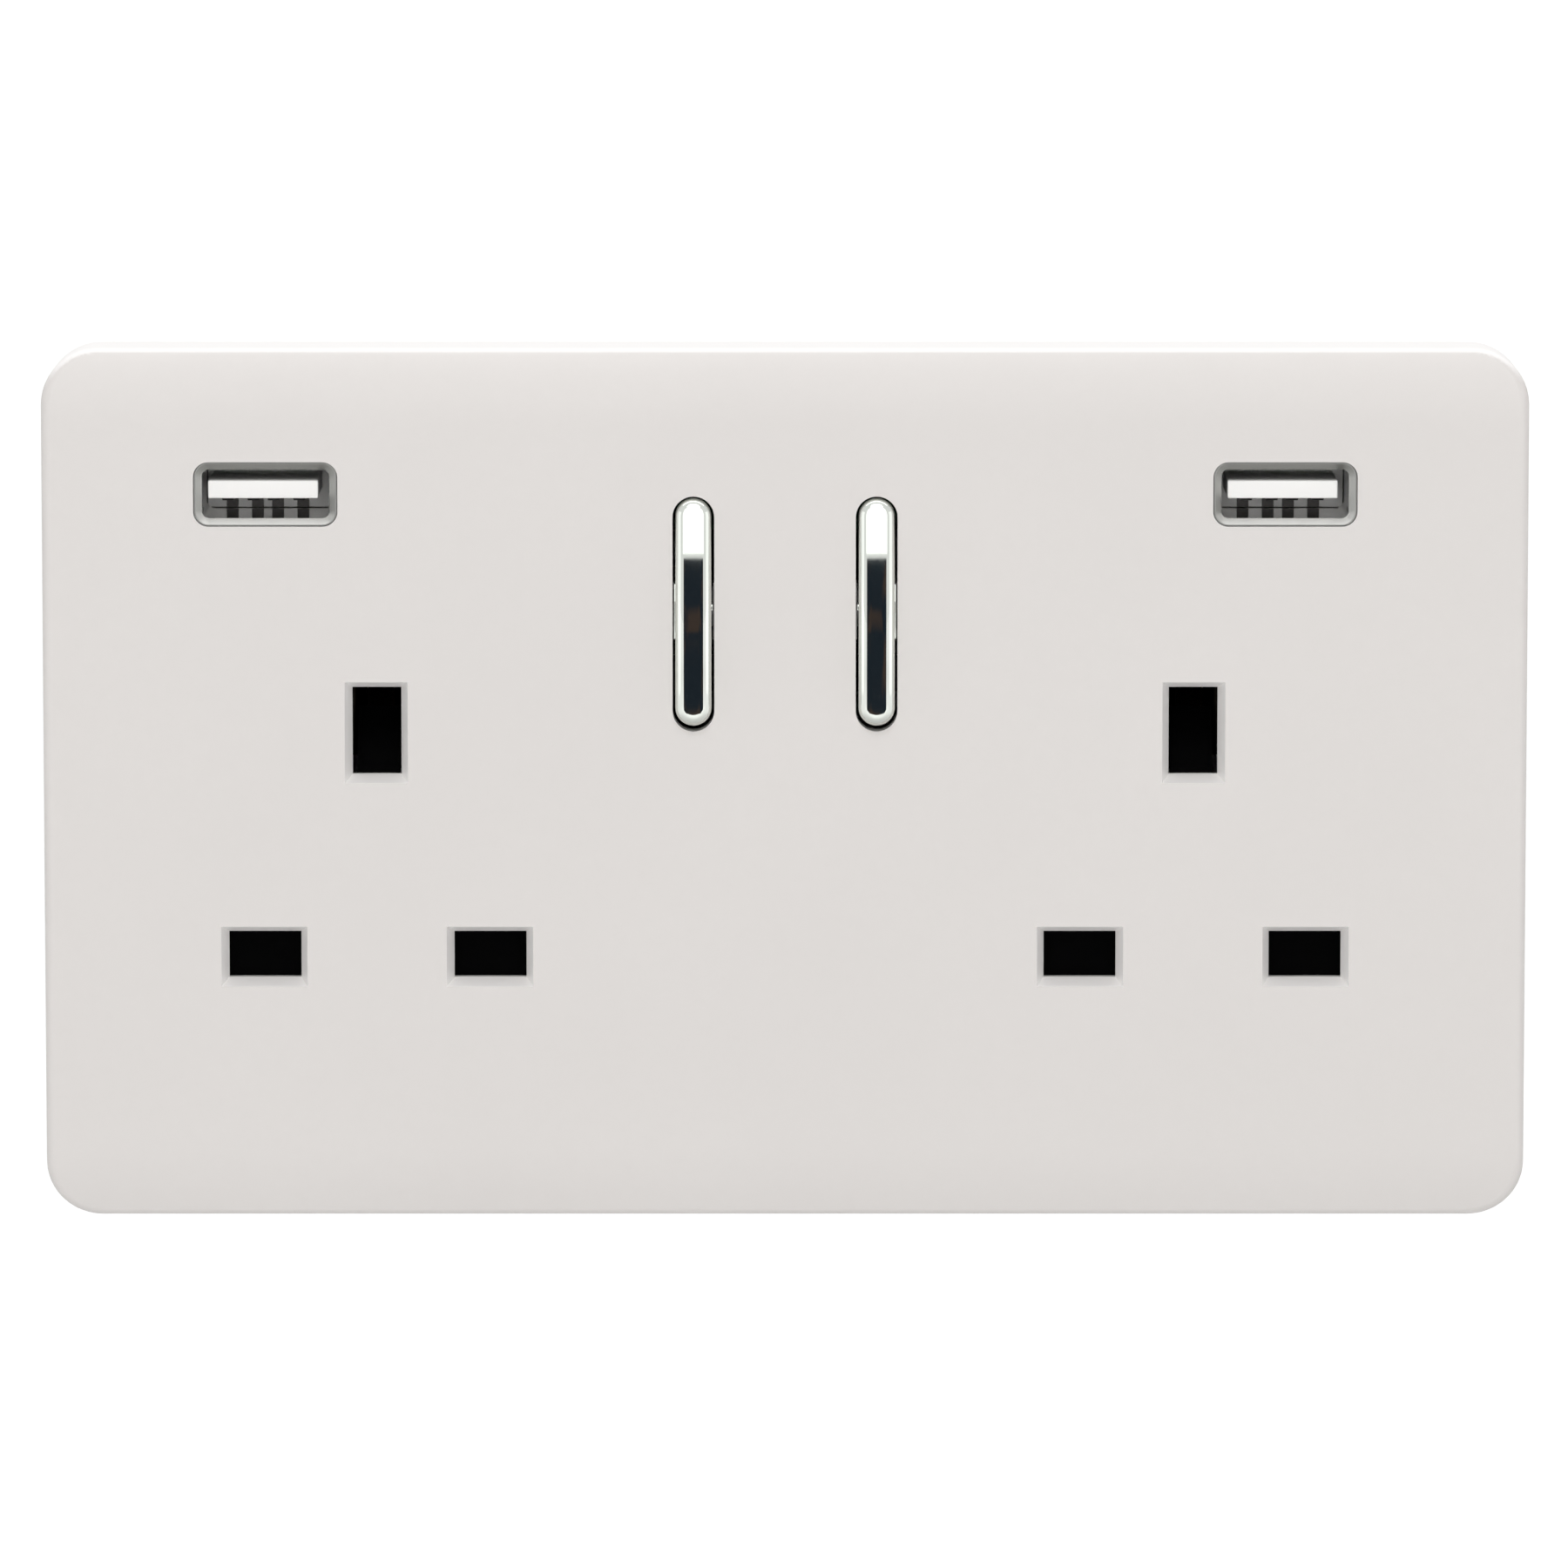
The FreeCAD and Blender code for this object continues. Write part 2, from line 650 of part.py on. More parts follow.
def guides_and_cheeks(side, sign):
    """Walls behind the deck that guide a shutter, and the bearing cheeks of a rocker."""
    behind = (f"{DECK_BACK} - deck_skin / 2", RETAINER_FRONT)
    door = "shutter_width / 2 + guide_gap"
    stem = "earth_hole_width / 2 + hole_step + guide_gap"
    foot = (f"{DOOR_FOOT} - shutter_travel", f"{DOOR_TOP} + guide_width")
    head = (f"{DOOR_TOP} + guide_width", f"{EARTH_RISE} + earth_hole_height / 2")
    walls = []
    for edge, away in (("outer", sign), ("inner", -sign)):
        walls.append(box(f"door_guide_{edge}_{side}",
                         beside(gang_x(sign), away, door, f"{door} + guide_width"), behind, foot))
        walls.append(box(f"stem_guide_{edge}_{side}",
                         beside(gang_x(sign), away, stem, f"{stem} + guide_width"), behind, head))
        walls.append(box(f"cheek_{edge}_{side}",
                         beside(rocker_x(sign), away, "cap_width / 2 + 2 * pivot_gap",
                                "pivot_length / 2 + guide_width / 2"),
                         (f"{DECK_FRONT} + cover_gap", f"{DECK_BACK} + cheek_reach"),
                         centred("rocker_rise", "cheek_length")))
    return walls


def rocker_bearing(side, sign):
    """The half-open bearing that a rocker's pivot snaps into from behind."""
    long = "pivot_length + 4 * pivot_gap"
    way = box(f"bearing_way_{side}", centred(rocker_x(sign), long),
              (PIVOT_Y, f"{DECK_BACK} + cheek_reach + {OVERRUN}"),
              centred("rocker_rise", "2 * (pivot_radius + pivot_gap)"))
    bearing = rod(f"bearing_{side}", "x", "pivot_radius + pivot_gap", f"{rocker_x(sign)} - ({long}) / 2",
                  long, (0, PIVOT_Y, "rocker_rise"))
    return [way, bearing]


def mounting_frame():
    flange = slab("frame_flange", FRAME_WIDTH, FRAME_HEIGHT, ("-flange_thick", "0"), "frame_corner")
    deck = slab("frame_deck", f"{FRAME_WIDTH} - 2 * deck_side_step", f"{FRAME_HEIGHT} - 2 * deck_top_step",
                (DECK_FRONT, "-flange_thick / 2"), "deck_corner")
    tools = [room("frame_room", (DECK_BACK, OVERRUN))] + flange_pockets()
    for name, x, z in snap_arms():
        tools.append(box(f"frame_window_{name}", centred(x, "snap_arm_width + 2 * snap_window_gap"),
                         (f"-flange_thick - {OVERRUN}", OVERRUN),
                         centred(z, "snap_arm_thick + 2 * snap_window_gap")))
    for side, sign in SIDES.items():
        tools += frame_openings(side, sign)
    added = [cut("frame_opened", fuse("frame_core", [flange, deck]), tools)]
    bores = []
    for side, sign in SIDES.items():
        added += guides_and_cheeks(side, sign)
        bores += rocker_bearing(side, sign)
    for name, x, z in pillars():
        added.append(rod(f"frame_boss_{name}", "y", "pillar_foot_radius", f"{DECK_BACK} - deck_skin / 2",
                         f"deck_skin / 2 - {DECK_BACK}", (x, 0, z)))
        bores.append(rod(f"frame_screw_hole_{name}", "y", "assembly_screw_radius + screw_clearance",
                         "-assembly_grip", f"assembly_grip + {OVERRUN}", (x, 0, z)))
    piece("mounting_frame", cut("frame_bored", fuse("frame_carried", added), bores))


def terminals():
    """Name and middle of each terminal, from left to right."""
    names = ("earth_terminal_left", "line_terminal", "neutral_terminal", "earth_terminal_right")
    return [(name, f"({step - (len(names) - 1) / 2} * terminal_spacing)") for step, name in enumerate(names)]


def housing_block():
    """The outside of the housing, rounded at the back and notched for the wall box's lugs."""
    block = slab("housing_block", HOUSING_WIDTH, "housing_height", ("0", "housing_depth"), "housing_corner")
    behind = edges_at_depth(block.Tip.Shape, size("housing_depth"))
    round_edges(block, block.Tip, behind, "housing_edge_round", "housing_back_edge")
    depth = (f"-{OVERRUN}", f"housing_depth + {OVERRUN}")
    near = f"{HOUSING_WIDTH} / 2 - lug_notch_depth"
    tools = [box(f"housing_notch_{side}", beside("0", sign, near, f"{HOUSING_WIDTH} / 2 + {OVERRUN}"),
                 depth, centred("0", "lug_notch_height")) for side, sign in SIDES.items()]
    return cut("housing_shell", block, [room("housing_room", (f"-{OVERRUN}", FLOOR_FRONT))] + tools)


def bar_rests():
    """Ribs on the housing floor that hold the contact pressings at their depths."""
    behind = "housing_depth - housing_floor / 2"
    pole_back = "pole_bar_depth + bar_thick"
    link = ("earth_bar_rise + bar_width", f"{STUD_RISE} - bar_width / 2")
    rests = {"left_link_rest": (gang_x(-1, 1), pole_back, link),
             "right_link_rest": ("terminal_spacing", pole_back, link),
             "neutral_rest": (gang_x(-1, -1), pole_back, centred("neutral_bar_rise", "bar_width")),
             "feed_rest": ("-terminal_spacing / 2", f"{FEED_FRONT} + bar_thick",
                           centred("earth_bar_rise", "feed_rest_height"))}
    for side, sign in SIDES.items():
        rests[f"earth_rest_{side}"] = (gang_x(sign), "earth_bar_depth + bar_thick",
                                       centred(EARTH_RISE, "bar_width"))
    return [box(name, centred(x, "bar_width"), (front, behind), z) for name, (x, front, z) in rests.items()]


def rear_housing():
    added = [housing_block()] + bar_rests()
    tools = []
    for name, x, z in pillars(["top"]):
        added.append(rod(f"pillar_{name}", "y", "pillar_radius", "0", "housing_depth", (x, 0, z)))
        added.append(rod(f"pillar_foot_{name}", "y", "pillar_foot_radius", BOARD_BACK,
                         f"housing_depth - {BOARD_BACK}", (x, 0, z)))
    for name, x, z in pillars(["foot"]):
        added.append(rod(f"pillar_{name}", "y", "pillar_foot_radius", "0", "housing_depth", (x, 0, z)))
    for name, x, z in pillars():
        tools.append(rod(f"housing_screw_hole_{name}", "y", "assembly_screw_radius + screw_clearance",
                         f"-{OVERRUN}", f"housing_depth + 2 * {OVERRUN}", (x, 0, z)))
        tools.append(rod(f"housing_head_hole_{name}", "y", "assembly_head_radius + screw_clearance",
                         "housing_depth - assembly_head_height", f"assembly_head_height + {OVERRUN}",
                         (x, 0, z)))
    for name, x in terminals():
        added.append(rod(f"{name}_collar", "y", "terminal_access_radius + collar_wall",
                         "housing_depth - housing_floor / 2", "housing_floor / 2 + collar_stand",
                         (x, 0, SCREW_RISE)))
        tools.append(rod(f"{name}_driver_hole", "y", "terminal_access_radius", FLOOR_FRONT,
                         f"housing_floor + collar_stand + {OVERRUN}", (x, 0, SCREW_RISE)))
        tools.append(rod(f"{name}_wire_hole", "z", "terminal_access_radius",
                         f"-housing_height / 2 - {OVERRUN}", f"housing_wall + {OVERRUN}", (x, BORE_Y, 0)))
    piece("rear_housing", cut("housing_bored", fuse("housing_filled", added), tools))


def assembly_screws():
    screws = []
    seat = "(housing_depth - assembly_head_height)"
    for name, x, z in pillars():
        shank = rod(f"screw_shank_{name}", "y", "assembly_screw_radius", "screw_clearance - assembly_grip",
                    f"({seat} + housing_depth) / 2 + assembly_grip - screw_clearance", (x, 0, z))
        head = rod(f"screw_head_{name}", "y", "assembly_head_radius", seat, "assembly_head_height",
                   (x, 0, z))
        deep = ("housing_depth - assembly_head_height / 2", f"housing_depth + {OVERRUN}")
        slots = [box(f"screw_{way}_{name}", centred(x, wide), deep, centred(z, tall))
                 for way, wide, tall in (("cross", "driver_cross", "terminal_slot_width"),
                                         ("bar", "terminal_slot_width", "driver_cross"))]
        screws.append(cut(f"screw_{name}", fuse(f"screw_blank_{name}", [shank, head]), slots))
    piece("assembly_screws", fuse("screw_set", screws))


def shutter(side, sign):
    """Doors over the line and neutral holes, with a ramp in the earth pin's way."""
    depth = (SHUTTER_FRONT, SHUTTER_BACK)
    breadth = centred(gang_x(sign), "shutter_stem_width")
    doors = box(f"doors_{side}", centred(gang_x(sign), "shutter_width"), depth, (DOOR_FOOT, DOOR_TOP))
    stem = box(f"stem_{side}", breadth, depth, (f"{DOOR_TOP} - shutter_thick", RAMP_FOOT))
    ramp = wedge(f"ramp_{side}", breadth, (SHUTTER_FRONT, f"{SHUTTER_FRONT} + shutter_travel"),
                 (RAMP_FOOT, f"{RAMP_FOOT} + ramp_margin"), breadth,
                 (RAMP_FOOT, f"{RAMP_FOOT} + shutter_travel"))
    piece(f"shutter_{side}", fuse(f"shutter_blank_{side}", [doors, stem, ramp]))


def shutter_spring(side, sign):
    under_door = size("pole_drop") + size("pole_hole_height") / 2 + size("shutter_lap")
    length = size("housing_height") / 2 - size("housing_wall") - under_door
    spring = helix_spring(f"shutter_coil_{side}", size("shutter_spring_radius"), size("shutter_wire_radius"),
                          size("shutter_spring_turns"), length - 2 * HAIR)
    move(spring, gang_x(sign), f"({SHUTTER_FRONT} + {SHUTTER_BACK}) / 2",
         f"-{ROOM_TOP} + shutter_wire_radius + {HAIR}")
    piece(f"shutter_spring_{side}", spring)


def shutter_retainer(side, sign):
    depth = (RETAINER_FRONT, RETAINER_BACK)
    through = (f"{RETAINER_FRONT} - {OVERRUN}", f"{RETAINER_BACK} + {OVERRUN}")
    head = f"{EARTH_RISE} + earth_hole_height / 2"
    wide = box(f"retainer_wide_{side}", centred(gang_x(sign), "shutter_width + 2 * guide_gap + guide_width"),
               depth, (f"{DOOR_FOOT} - shutter_travel + guide_width / 2", f"{DOOR_TOP} + guide_width"))
    tall = box(f"retainer_tall_{side}", centred(gang_x(sign), "earth_hole_width + 2 * retainer_margin"),
               depth, (DOOR_TOP, head))
    tools = [box(f"retainer_way_{side}", centred(gang_x(sign), "earth_hole_width + 2 * hole_step"), through,
                 (f"{RAMP_FOOT} - shutter_travel - guide_gap", f"{head} + {OVERRUN}"))]
    for hole, x, z, width, height in outlet_holes(sign)[1:]:
        tools.append(box(f"retainer_{hole}_{side}", centred(x, f"{width} + 2 * hole_step"), through,
                         centred(z, f"{height} + 2 * hole_step")))
    blank = fuse(f"retainer_plate_{side}", [wide, tall])
    piece(f"shutter_retainer_{side}", cut(f"retainer_{side}", blank, tools))


def pole_fork(name, x):
    fork = spring_fork(name, size("pole_fork_length"), size("pole_grip"), size("pole_fork_width"), True)
    move(fork, x, "pole_bar_depth + bar_thick / 2", POLE_RISE)
    return fork


def earth_bar():
    depth = ("earth_bar_depth", "earth_bar_depth + bar_thick")
    ends = (f"{gang_x(-1)} - bar_width / 2", f"{gang_x(1)} + bar_width / 2")
    solids = [box("earth_strip", ends, depth, centred("earth_bar_rise", "bar_width"))]
    for side, sign in SIDES.items():
        fork = spring_fork(f"earth_fork_{side}", size("earth_fork_length"), size("earth_grip"),
                           size("earth_fork_width"), False)
        move(fork, gang_x(sign), "earth_bar_depth + bar_thick / 2", EARTH_RISE)
        solids.append(fork)
    for name, x in terminals():
        if name.startswith("earth"):
            solids.append(box(f"{name}_leg", centred(x, "bar_width"), depth,
                              (TERMINAL_TOP, "earth_bar_rise")))
    piece("earth_bar", fuse("earth_pressing", solids))


def neutral_bar():
    depth = ("pole_bar_depth", "pole_bar_depth + bar_thick")
    rise = centred("neutral_bar_rise", "bar_width")
    ends = (f"{gang_x(-1, -1)} - bar_width / 2", f"{gang_x(1, -1)} + bar_width / 2")
    solids = [box("neutral_strip", ends, depth, rise),
              box("neutral_foot", centred("terminal_spacing / 2", "bar_width"),
                  ("pole_bar_depth", TERMINAL_FRONT), rise)]
    for side, sign in SIDES.items():
        solids.append(pole_fork(f"neutral_fork_{side}", gang_x(sign, -1)))
        solids.append(box(f"neutral_tab_{side}", centred(gang_x(sign, -1), "bar_width"), depth,
                          ("neutral_bar_rise", POLE_RISE)))
    piece("neutral_bar", fuse("neutral_pressing", solids))


def line_contact(side, sign):
    """A gang's line fork, with the strip that runs from it to the switch's fixed stud."""
    depth = ("pole_bar_depth", "pole_bar_depth + bar_thick")
    x, half = gang_x(sign, 1), "bar_width / 2"
    stud = rod(f"fixed_stud_{side}", "y", "stud_radius", "pole_bar_depth",
               f"{FIXED_STUD_BACK} - pole_bar_depth", (rocker_x(sign), 0, STUD_RISE))
    level = centred(STUD_RISE, "bar_width")
    if sign < 0:
        runs = {"riser": (centred(x, "bar_width"), (POLE_RISE, f"{STUD_RISE} + {half}")),
                "arm": ((x, f"{rocker_x(sign)} + {half}"), level)}
    else:
        turn = "terminal_spacing"
        runs = {"riser": (centred(x, "bar_width"), (POLE_RISE, f"link_rise + {half}")),
                "run": ((f"{turn} - {half}", x), centred("link_rise", "bar_width")),
                "lift": (centred(turn, "bar_width"), ("link_rise", f"{STUD_RISE} + {half}")),
                "arm": ((f"{rocker_x(sign)} - {half}", turn), level)}
    strips = [box(f"{side}_link_{name}", across, depth, tall) for name, (across, tall) in runs.items()]
    fork = pole_fork(f"line_fork_{side}", x)
    piece(f"line_contact_{side}", fuse(f"line_pressing_{side}", [fork, stud] + strips))


def switch_feed():
    """The live strip under both switches, with a round-nosed saddle that each contact arm rocks on."""
    depth = (FEED_FRONT, f"{FEED_FRONT} + bar_thick")
    foot, top = "-terminal_spacing / 2", "rocker_rise + bar_width / 2"
    solids = [box("feed_riser", centred(foot, "bar_width"), depth, (TERMINAL_TOP, top)),
              box("feed_cross", (foot, "rocker_spacing / 2 + bar_width / 2"), depth,
                  centred("rocker_rise", "bar_width"))]
    for side, sign in SIDES.items():
        wide = centred(rocker_x(sign), "saddle_width")
        solids.append(wedge(f"saddle_{side}", wide, ("arm_pivot_depth", FEED_FRONT),
                            centred("rocker_rise", "2 * saddle_nose_radius"), wide,
                            centred("rocker_rise", "bar_width")))
        solids.append(rod(f"saddle_nose_{side}", "x", "saddle_nose_radius", wide[0], "saddle_width",
                          (0, "arm_pivot_depth", "rocker_rise")))
    piece("switch_feed", fuse("feed_pressing", solids))


def terminal_blocks():
    for name, x in terminals():
        block = box(f"{name}_block", centred(x, "terminal_width"), (TERMINAL_FRONT, FLOOR_FRONT),
                    (TERMINAL_FOOT, TERMINAL_TOP))
        bore = rod(f"{name}_bore", "z", "terminal_bore_radius", f"{TERMINAL_FOOT} - {OVERRUN}",
                   f"terminal_bore_length + {OVERRUN}", (x, BORE_Y, 0))
        tapped = rod(f"{name}_tapping", "y", "terminal_screw_radius + screw_clearance", BORE_Y,
                     f"{FLOOR_FRONT} - {BORE_Y} + {OVERRUN}", (x, 0, SCREW_RISE))
        piece(name, cut(f"{name}_bored", block, [bore, tapped]))


def terminal_screws():
    screws = []
    tip = f"({BORE_Y} + terminal_bore_radius + terminal_screw_gap)"
    head = "(housing_depth - terminal_head_height + terminal_screw_out)"
    top = f"{head} + terminal_head_height"
    for name, x in terminals():
        shank = rod(f"{name}_shank", "y", "terminal_screw_radius", tip,
                    f"{head} - {tip} + terminal_head_height / 2", (x, 0, SCREW_RISE))
        cap = rod(f"{name}_head", "y", "terminal_head_radius", head, "terminal_head_height",
                  (x, 0, SCREW_RISE))
        slot = box(f"{name}_slot", centred(x, f"2 * terminal_head_radius + {OVERRUN}"),
                   (f"{top} - terminal_slot_deep", f"{top} + {OVERRUN}"),
                   centred(SCREW_RISE, "terminal_slot_width"))
        screws.append(cut(f"{name}_screw", fuse(f"{name}_screw_blank", [shank, cap]), [slot]))
    piece("terminal_screws", fuse("terminal_screw_set", screws))


def on_pivot(target, sign):
    """Set a rocker piece on its pivot, with the top pressed in: the outlet is off."""
    turned(target, "rocker_tilt", -1)
    move(target, rocker_x(sign), PIVOT_Y, "rocker_rise")
    return target


def cap_profile(body, side):
    """The cap seen from its end face: a flat root and a bowed front."""
    sketch = plane_sketch(body, "YZ_Plane", f"cap_profile_{side}")
    half, crown = size("cap_length") / 2, -(size("cap_stand") + size("pivot_depth"))
    brow, root = crown + size("cap_sag"), -size("cap_root")
    corners = [Vector(root, -half), Vector(root, half), Vector(brow, half), Vector(brow, -half)]
    lines = [Part.LineSegment(corners[0], corners[1]), Part.LineSegment(corners[1], corners[2]),
             Part.Arc(corners[2], Vector(crown, 0), corners[3]), Part.LineSegment(corners[3], corners[0])]
    for line in lines:
        sketch.addGeometry(line, False)
    join_ends(sketch, 0, len(lines))
    front = "cap_sag - cap_stand - pivot_depth"
    places = [("-cap_root", "-cap_length / 2"), ("-cap_root", "cap_length / 2"),
              (front, "cap_length / 2"), (front, "-cap_length / 2")]
    for line, (place, corner) in enumerate(zip(places, corners)):
        hold(sketch, line, place, corner)
    bow = (half ** 2 + size("cap_sag") ** 2) / (2 * size("cap_sag"))
    number = sketch.addConstraint(Sketcher.Constraint("Radius", 2, bow))
    bind(sketch, f"Constraints[{number}]", "((cap_length / 2) ^ 2 + cap_sag ^ 2) / (2 * cap_sag)")
    return sketch


def rocker_cap(side, sign):
    body = doc.addObject("PartDesign::Body", f"cap_{side}")
    pad = body.newObject("PartDesign::Pad", f"cap_pad_{side}")
    pad.Profile = cap_profile(body, side)
    pad.SideType = "Symmetric"
    bind(pad, "Length", "cap_width")
    doc.recompute()
    ends = round_edges(body, pad, edges_along(pad.Shape, Vector(0, 1, 0)), f"cap_width / 2 - {HAIR}",
                       f"cap_ends_{side}")
    bowed = [face for face in ends.Shape.Faces if face.Surface.TypeId == "Part::GeomCylinder"
             and abs(face.Surface.Axis.x) > 1 - HAIR]
    round_edges(body, ends, outline_edges(ends.Shape, bowed), "cap_round", f"cap_brow_{side}")
    front = "(ear_sunk - cap_stand - pivot_depth)"
    ears = box(f"cap_ears_{side}", centred("0", "cap_width + 2 * ear_stand"),
               (front, f"{front} + ear_depth"), centred("0", "ear_length"))
    piece(f"rocker_cap_{side}", on_pivot(fuse(f"cap_with_ears_{side}", [body, ears]), sign))


def rocker(side, sign):
    lever = box(f"lever_{side}", centred("0", "lever_width"), ("-cap_root", "lever_depth"),
                centred("0", "lever_length"))
    pin = rod(f"pivot_{side}", "x", "pivot_radius", "-pivot_length / 2", "pivot_length", (0, 0, 0))
    stem = rod(f"stem_tube_{side}", "y", "stem_radius", "lever_depth", "stem_length - lever_depth",
               (0, 0, 0))
    bore = rod(f"stem_bore_{side}", "y", "plunger_radius + plunger_gap", "plunger_seat",
               f"stem_length - plunger_seat + {OVERRUN}", (0, 0, 0))
    lever = cut(f"rocker_lever_{side}", fuse(f"rocker_blank_{side}", [lever, pin, stem]), [bore])
    piece(f"rocker_{side}", on_pivot(lever, sign))


def plunger(side, sign):
    shank = rod(f"plunger_shank_{side}", "y", "plunger_radius", "plunger_seat + plunger_spring_length",
                f"{PLUNGER_TIP} - plunger_radius - plunger_seat - plunger_spring_length", (0, 0, 0))
    tip = doc.addObject("Part::Sphere", f"plunger_tip_{side}")
    bind(tip, "Radius", "plunger_radius")
    move(tip, y=f"{PLUNGER_TIP} - plunger_radius")
    piece(f"plunger_{side}", on_pivot(fuse(f"plunger_blank_{side}", [shank, tip]), sign))


def plunger_spring(side, sign):
    wire = size("plunger_wire_radius")
    spring = helix_spring(f"plunger_coil_{side}", size("plunger_radius") - wire - size("plunger_gap"), wire,
                          size("plunger_spring_turns"), size("plunger_spring_length") - 2 * HAIR)
    lying = FreeCAD.Matrix()
    lying.rotateX(-math.pi / 2)
    lying.move(Vector(0, size("plunger_seat") + wire + HAIR, 0))
    spring.Shape = spring.Shape.transformGeometry(lying)
    piece(f"plunger_spring_{side}", on_pivot(spring, sign))


def contact_arm(side, sign):
    """The rocking strip, with a coined groove that sits over its saddle's nose."""
    strip = box(f"arm_strip_{side}", centred("0", "arm_width"), ("-arm_seat - arm_thick", "-arm_seat"),
                centred("0", "arm_length"))
    stud = rod(f"arm_stud_{side}", "y", "stud_radius", "-arm_seat - arm_thick - stud_height",
               "stud_height + arm_thick / 2", (0, 0, "-stud_reach"))
    groove = rod(f"arm_groove_{side}", "x", "saddle_nose_radius + pivot_gap",
                 f"-arm_width / 2 - {OVERRUN}", f"arm_width + 2 * {OVERRUN}", (0, 0, 0))
    arm = cut(f"arm_{side}", fuse(f"arm_blank_{side}", [strip, stud]), [groove])
    turned(arm, "arm_tilt", 1)
    move(arm, rocker_x(sign), "arm_pivot_depth", "rocker_rise")
    piece(f"contact_arm_{side}", arm)


def port_shell(side):
    """The port's steel shell: a drawn tube with a lip that funnels the plug in."""
    x, rise = port_x(side), "port_rise"
    lip_back = f"{PORT_FRONT} + port_lip_depth"
    opening = ("port_shell_width - 2 * port_shell_wall", "port_shell_height - 2 * port_shell_wall")
    inner_corner = "port_shell_corner - port_shell_wall"
    tube = slab(f"port_tube_{side}", "port_shell_width", "port_shell_height", (PORT_FRONT, "board_depth"),
                "port_shell_corner", x=x, z=rise)
    lip = slab(f"port_lip_{side}", "port_lip_width", "port_lip_height", (PORT_FRONT, lip_back),
               "port_lip_corner", x=x, z=rise)
    inner = slab(f"port_inner_{side}", *opening, (f"{PORT_FRONT} - {OVERRUN}", f"board_depth + {OVERRUN}"),
                 inner_corner, x=x, z=rise)
    funnel_back = f"{PORT_FRONT} + port_funnel"
    funnel = slab(f"port_funnel_{side}", *(f"{breadth} + 2 * port_funnel" for breadth in opening),
                  (f"{PORT_FRONT} - {OVERRUN}", funnel_back), f"{inner_corner} + port_funnel", x=x, z=rise)
    depth = size("port_sunk") + size("port_funnel") - size("plate_stand")
    straight = funnel.Tip
    slope = funnel.newObject("PartDesign::Chamfer", f"port_funnel_slope_{side}")
    slope.Base = (straight, edges_at_depth(straight.Shape, depth))
    bind(slope, "Size", f"port_funnel - {HAIR}")
    doc.recompute()
    outside = fuse(f"port_outer_{side}", [tube, lip])
    piece(f"usb_shell_{side}", cut(f"port_shell_{side}", outside, [inner, funnel]))


def port_insulator(side):
    x = port_x(side)
    gap = "2 * (port_shell_wall + pivot_gap)"
    block = slab(f"port_block_{side}", f"port_shell_width - {gap}", f"port_shell_height - {gap}",
                 (BLOCK_FRONT, "board_depth"), "port_shell_corner - port_shell_wall", x=x, z="port_rise")
    tongue = box(f"port_tongue_{side}", centred(x, "port_tongue_width"),
                 (f"{FACE} + port_tongue_sunk", f"{BLOCK_FRONT} + port_leg_thick"),
                 centred(TONGUE_RISE, "port_tongue_thick"))
    piece(f"usb_insulator_{side}", fuse(f"port_core_{side}", [block, tongue]))


def port_contacts(side):
    """Four contacts under the tongue, each with a leg that turns down in front of the block."""
    under = f"({TONGUE_RISE} - port_tongue_thick / 2)"
    foot = "(port_rise - port_shell_height / 2 + port_shell_wall + pivot_gap)"
    front = f"{FACE} + port_tongue_sunk + port_leg_thick"
    strips = []
    for pitch in ("-port_outer_pitch", "-port_inner_pitch", "port_inner_pitch", "port_outer_pitch"):
        breadth = centred(f"{port_x(side)} + {pitch} / 2", "port_contact_width")
        name = f"port_contact_{side}_{len(strips)}"
        strips.append(box(name, breadth, (front, BLOCK_FRONT), (f"{under} - port_contact_thick", under)))
        strips.append(box(f"{name}_leg", breadth, (f"{BLOCK_FRONT} - port_leg_thick", BLOCK_FRONT),
                          (foot, under)))
    piece(f"usb_contacts_{side}", fuse(f"port_contact_set_{side}", strips))


def circuit_board():
    depth = ("board_depth", BOARD_BACK)
    through = (f"board_depth - {OVERRUN}", f"{BOARD_BACK} + {OVERRUN}")
    blank = box("board_blank", centred("0", "board_width"), depth, ("board_foot", f"{ROOM_TOP} - board_gap"))
    tools = [box("board_notch", centred("0", "board_notch_width"), through,
                 (f"board_foot - {OVERRUN}", "board_notch_top"))]
    for name, x, z in pillars(["top"]):
        tools.append(rod(f"board_hole_{name}", "y", "pillar_radius + pivot_gap", f"board_depth - {OVERRUN}",
                         f"board_thick + 2 * {OVERRUN}", (x, 0, z)))
    piece("circuit_board", cut("board_cut", blank, tools))


def standing_part(name, radius, length, x):
    """A round part that stands on the board."""
    return rod(name, "y", radius, BOARD_BACK, length, (x, 0, "part_row_rise"))


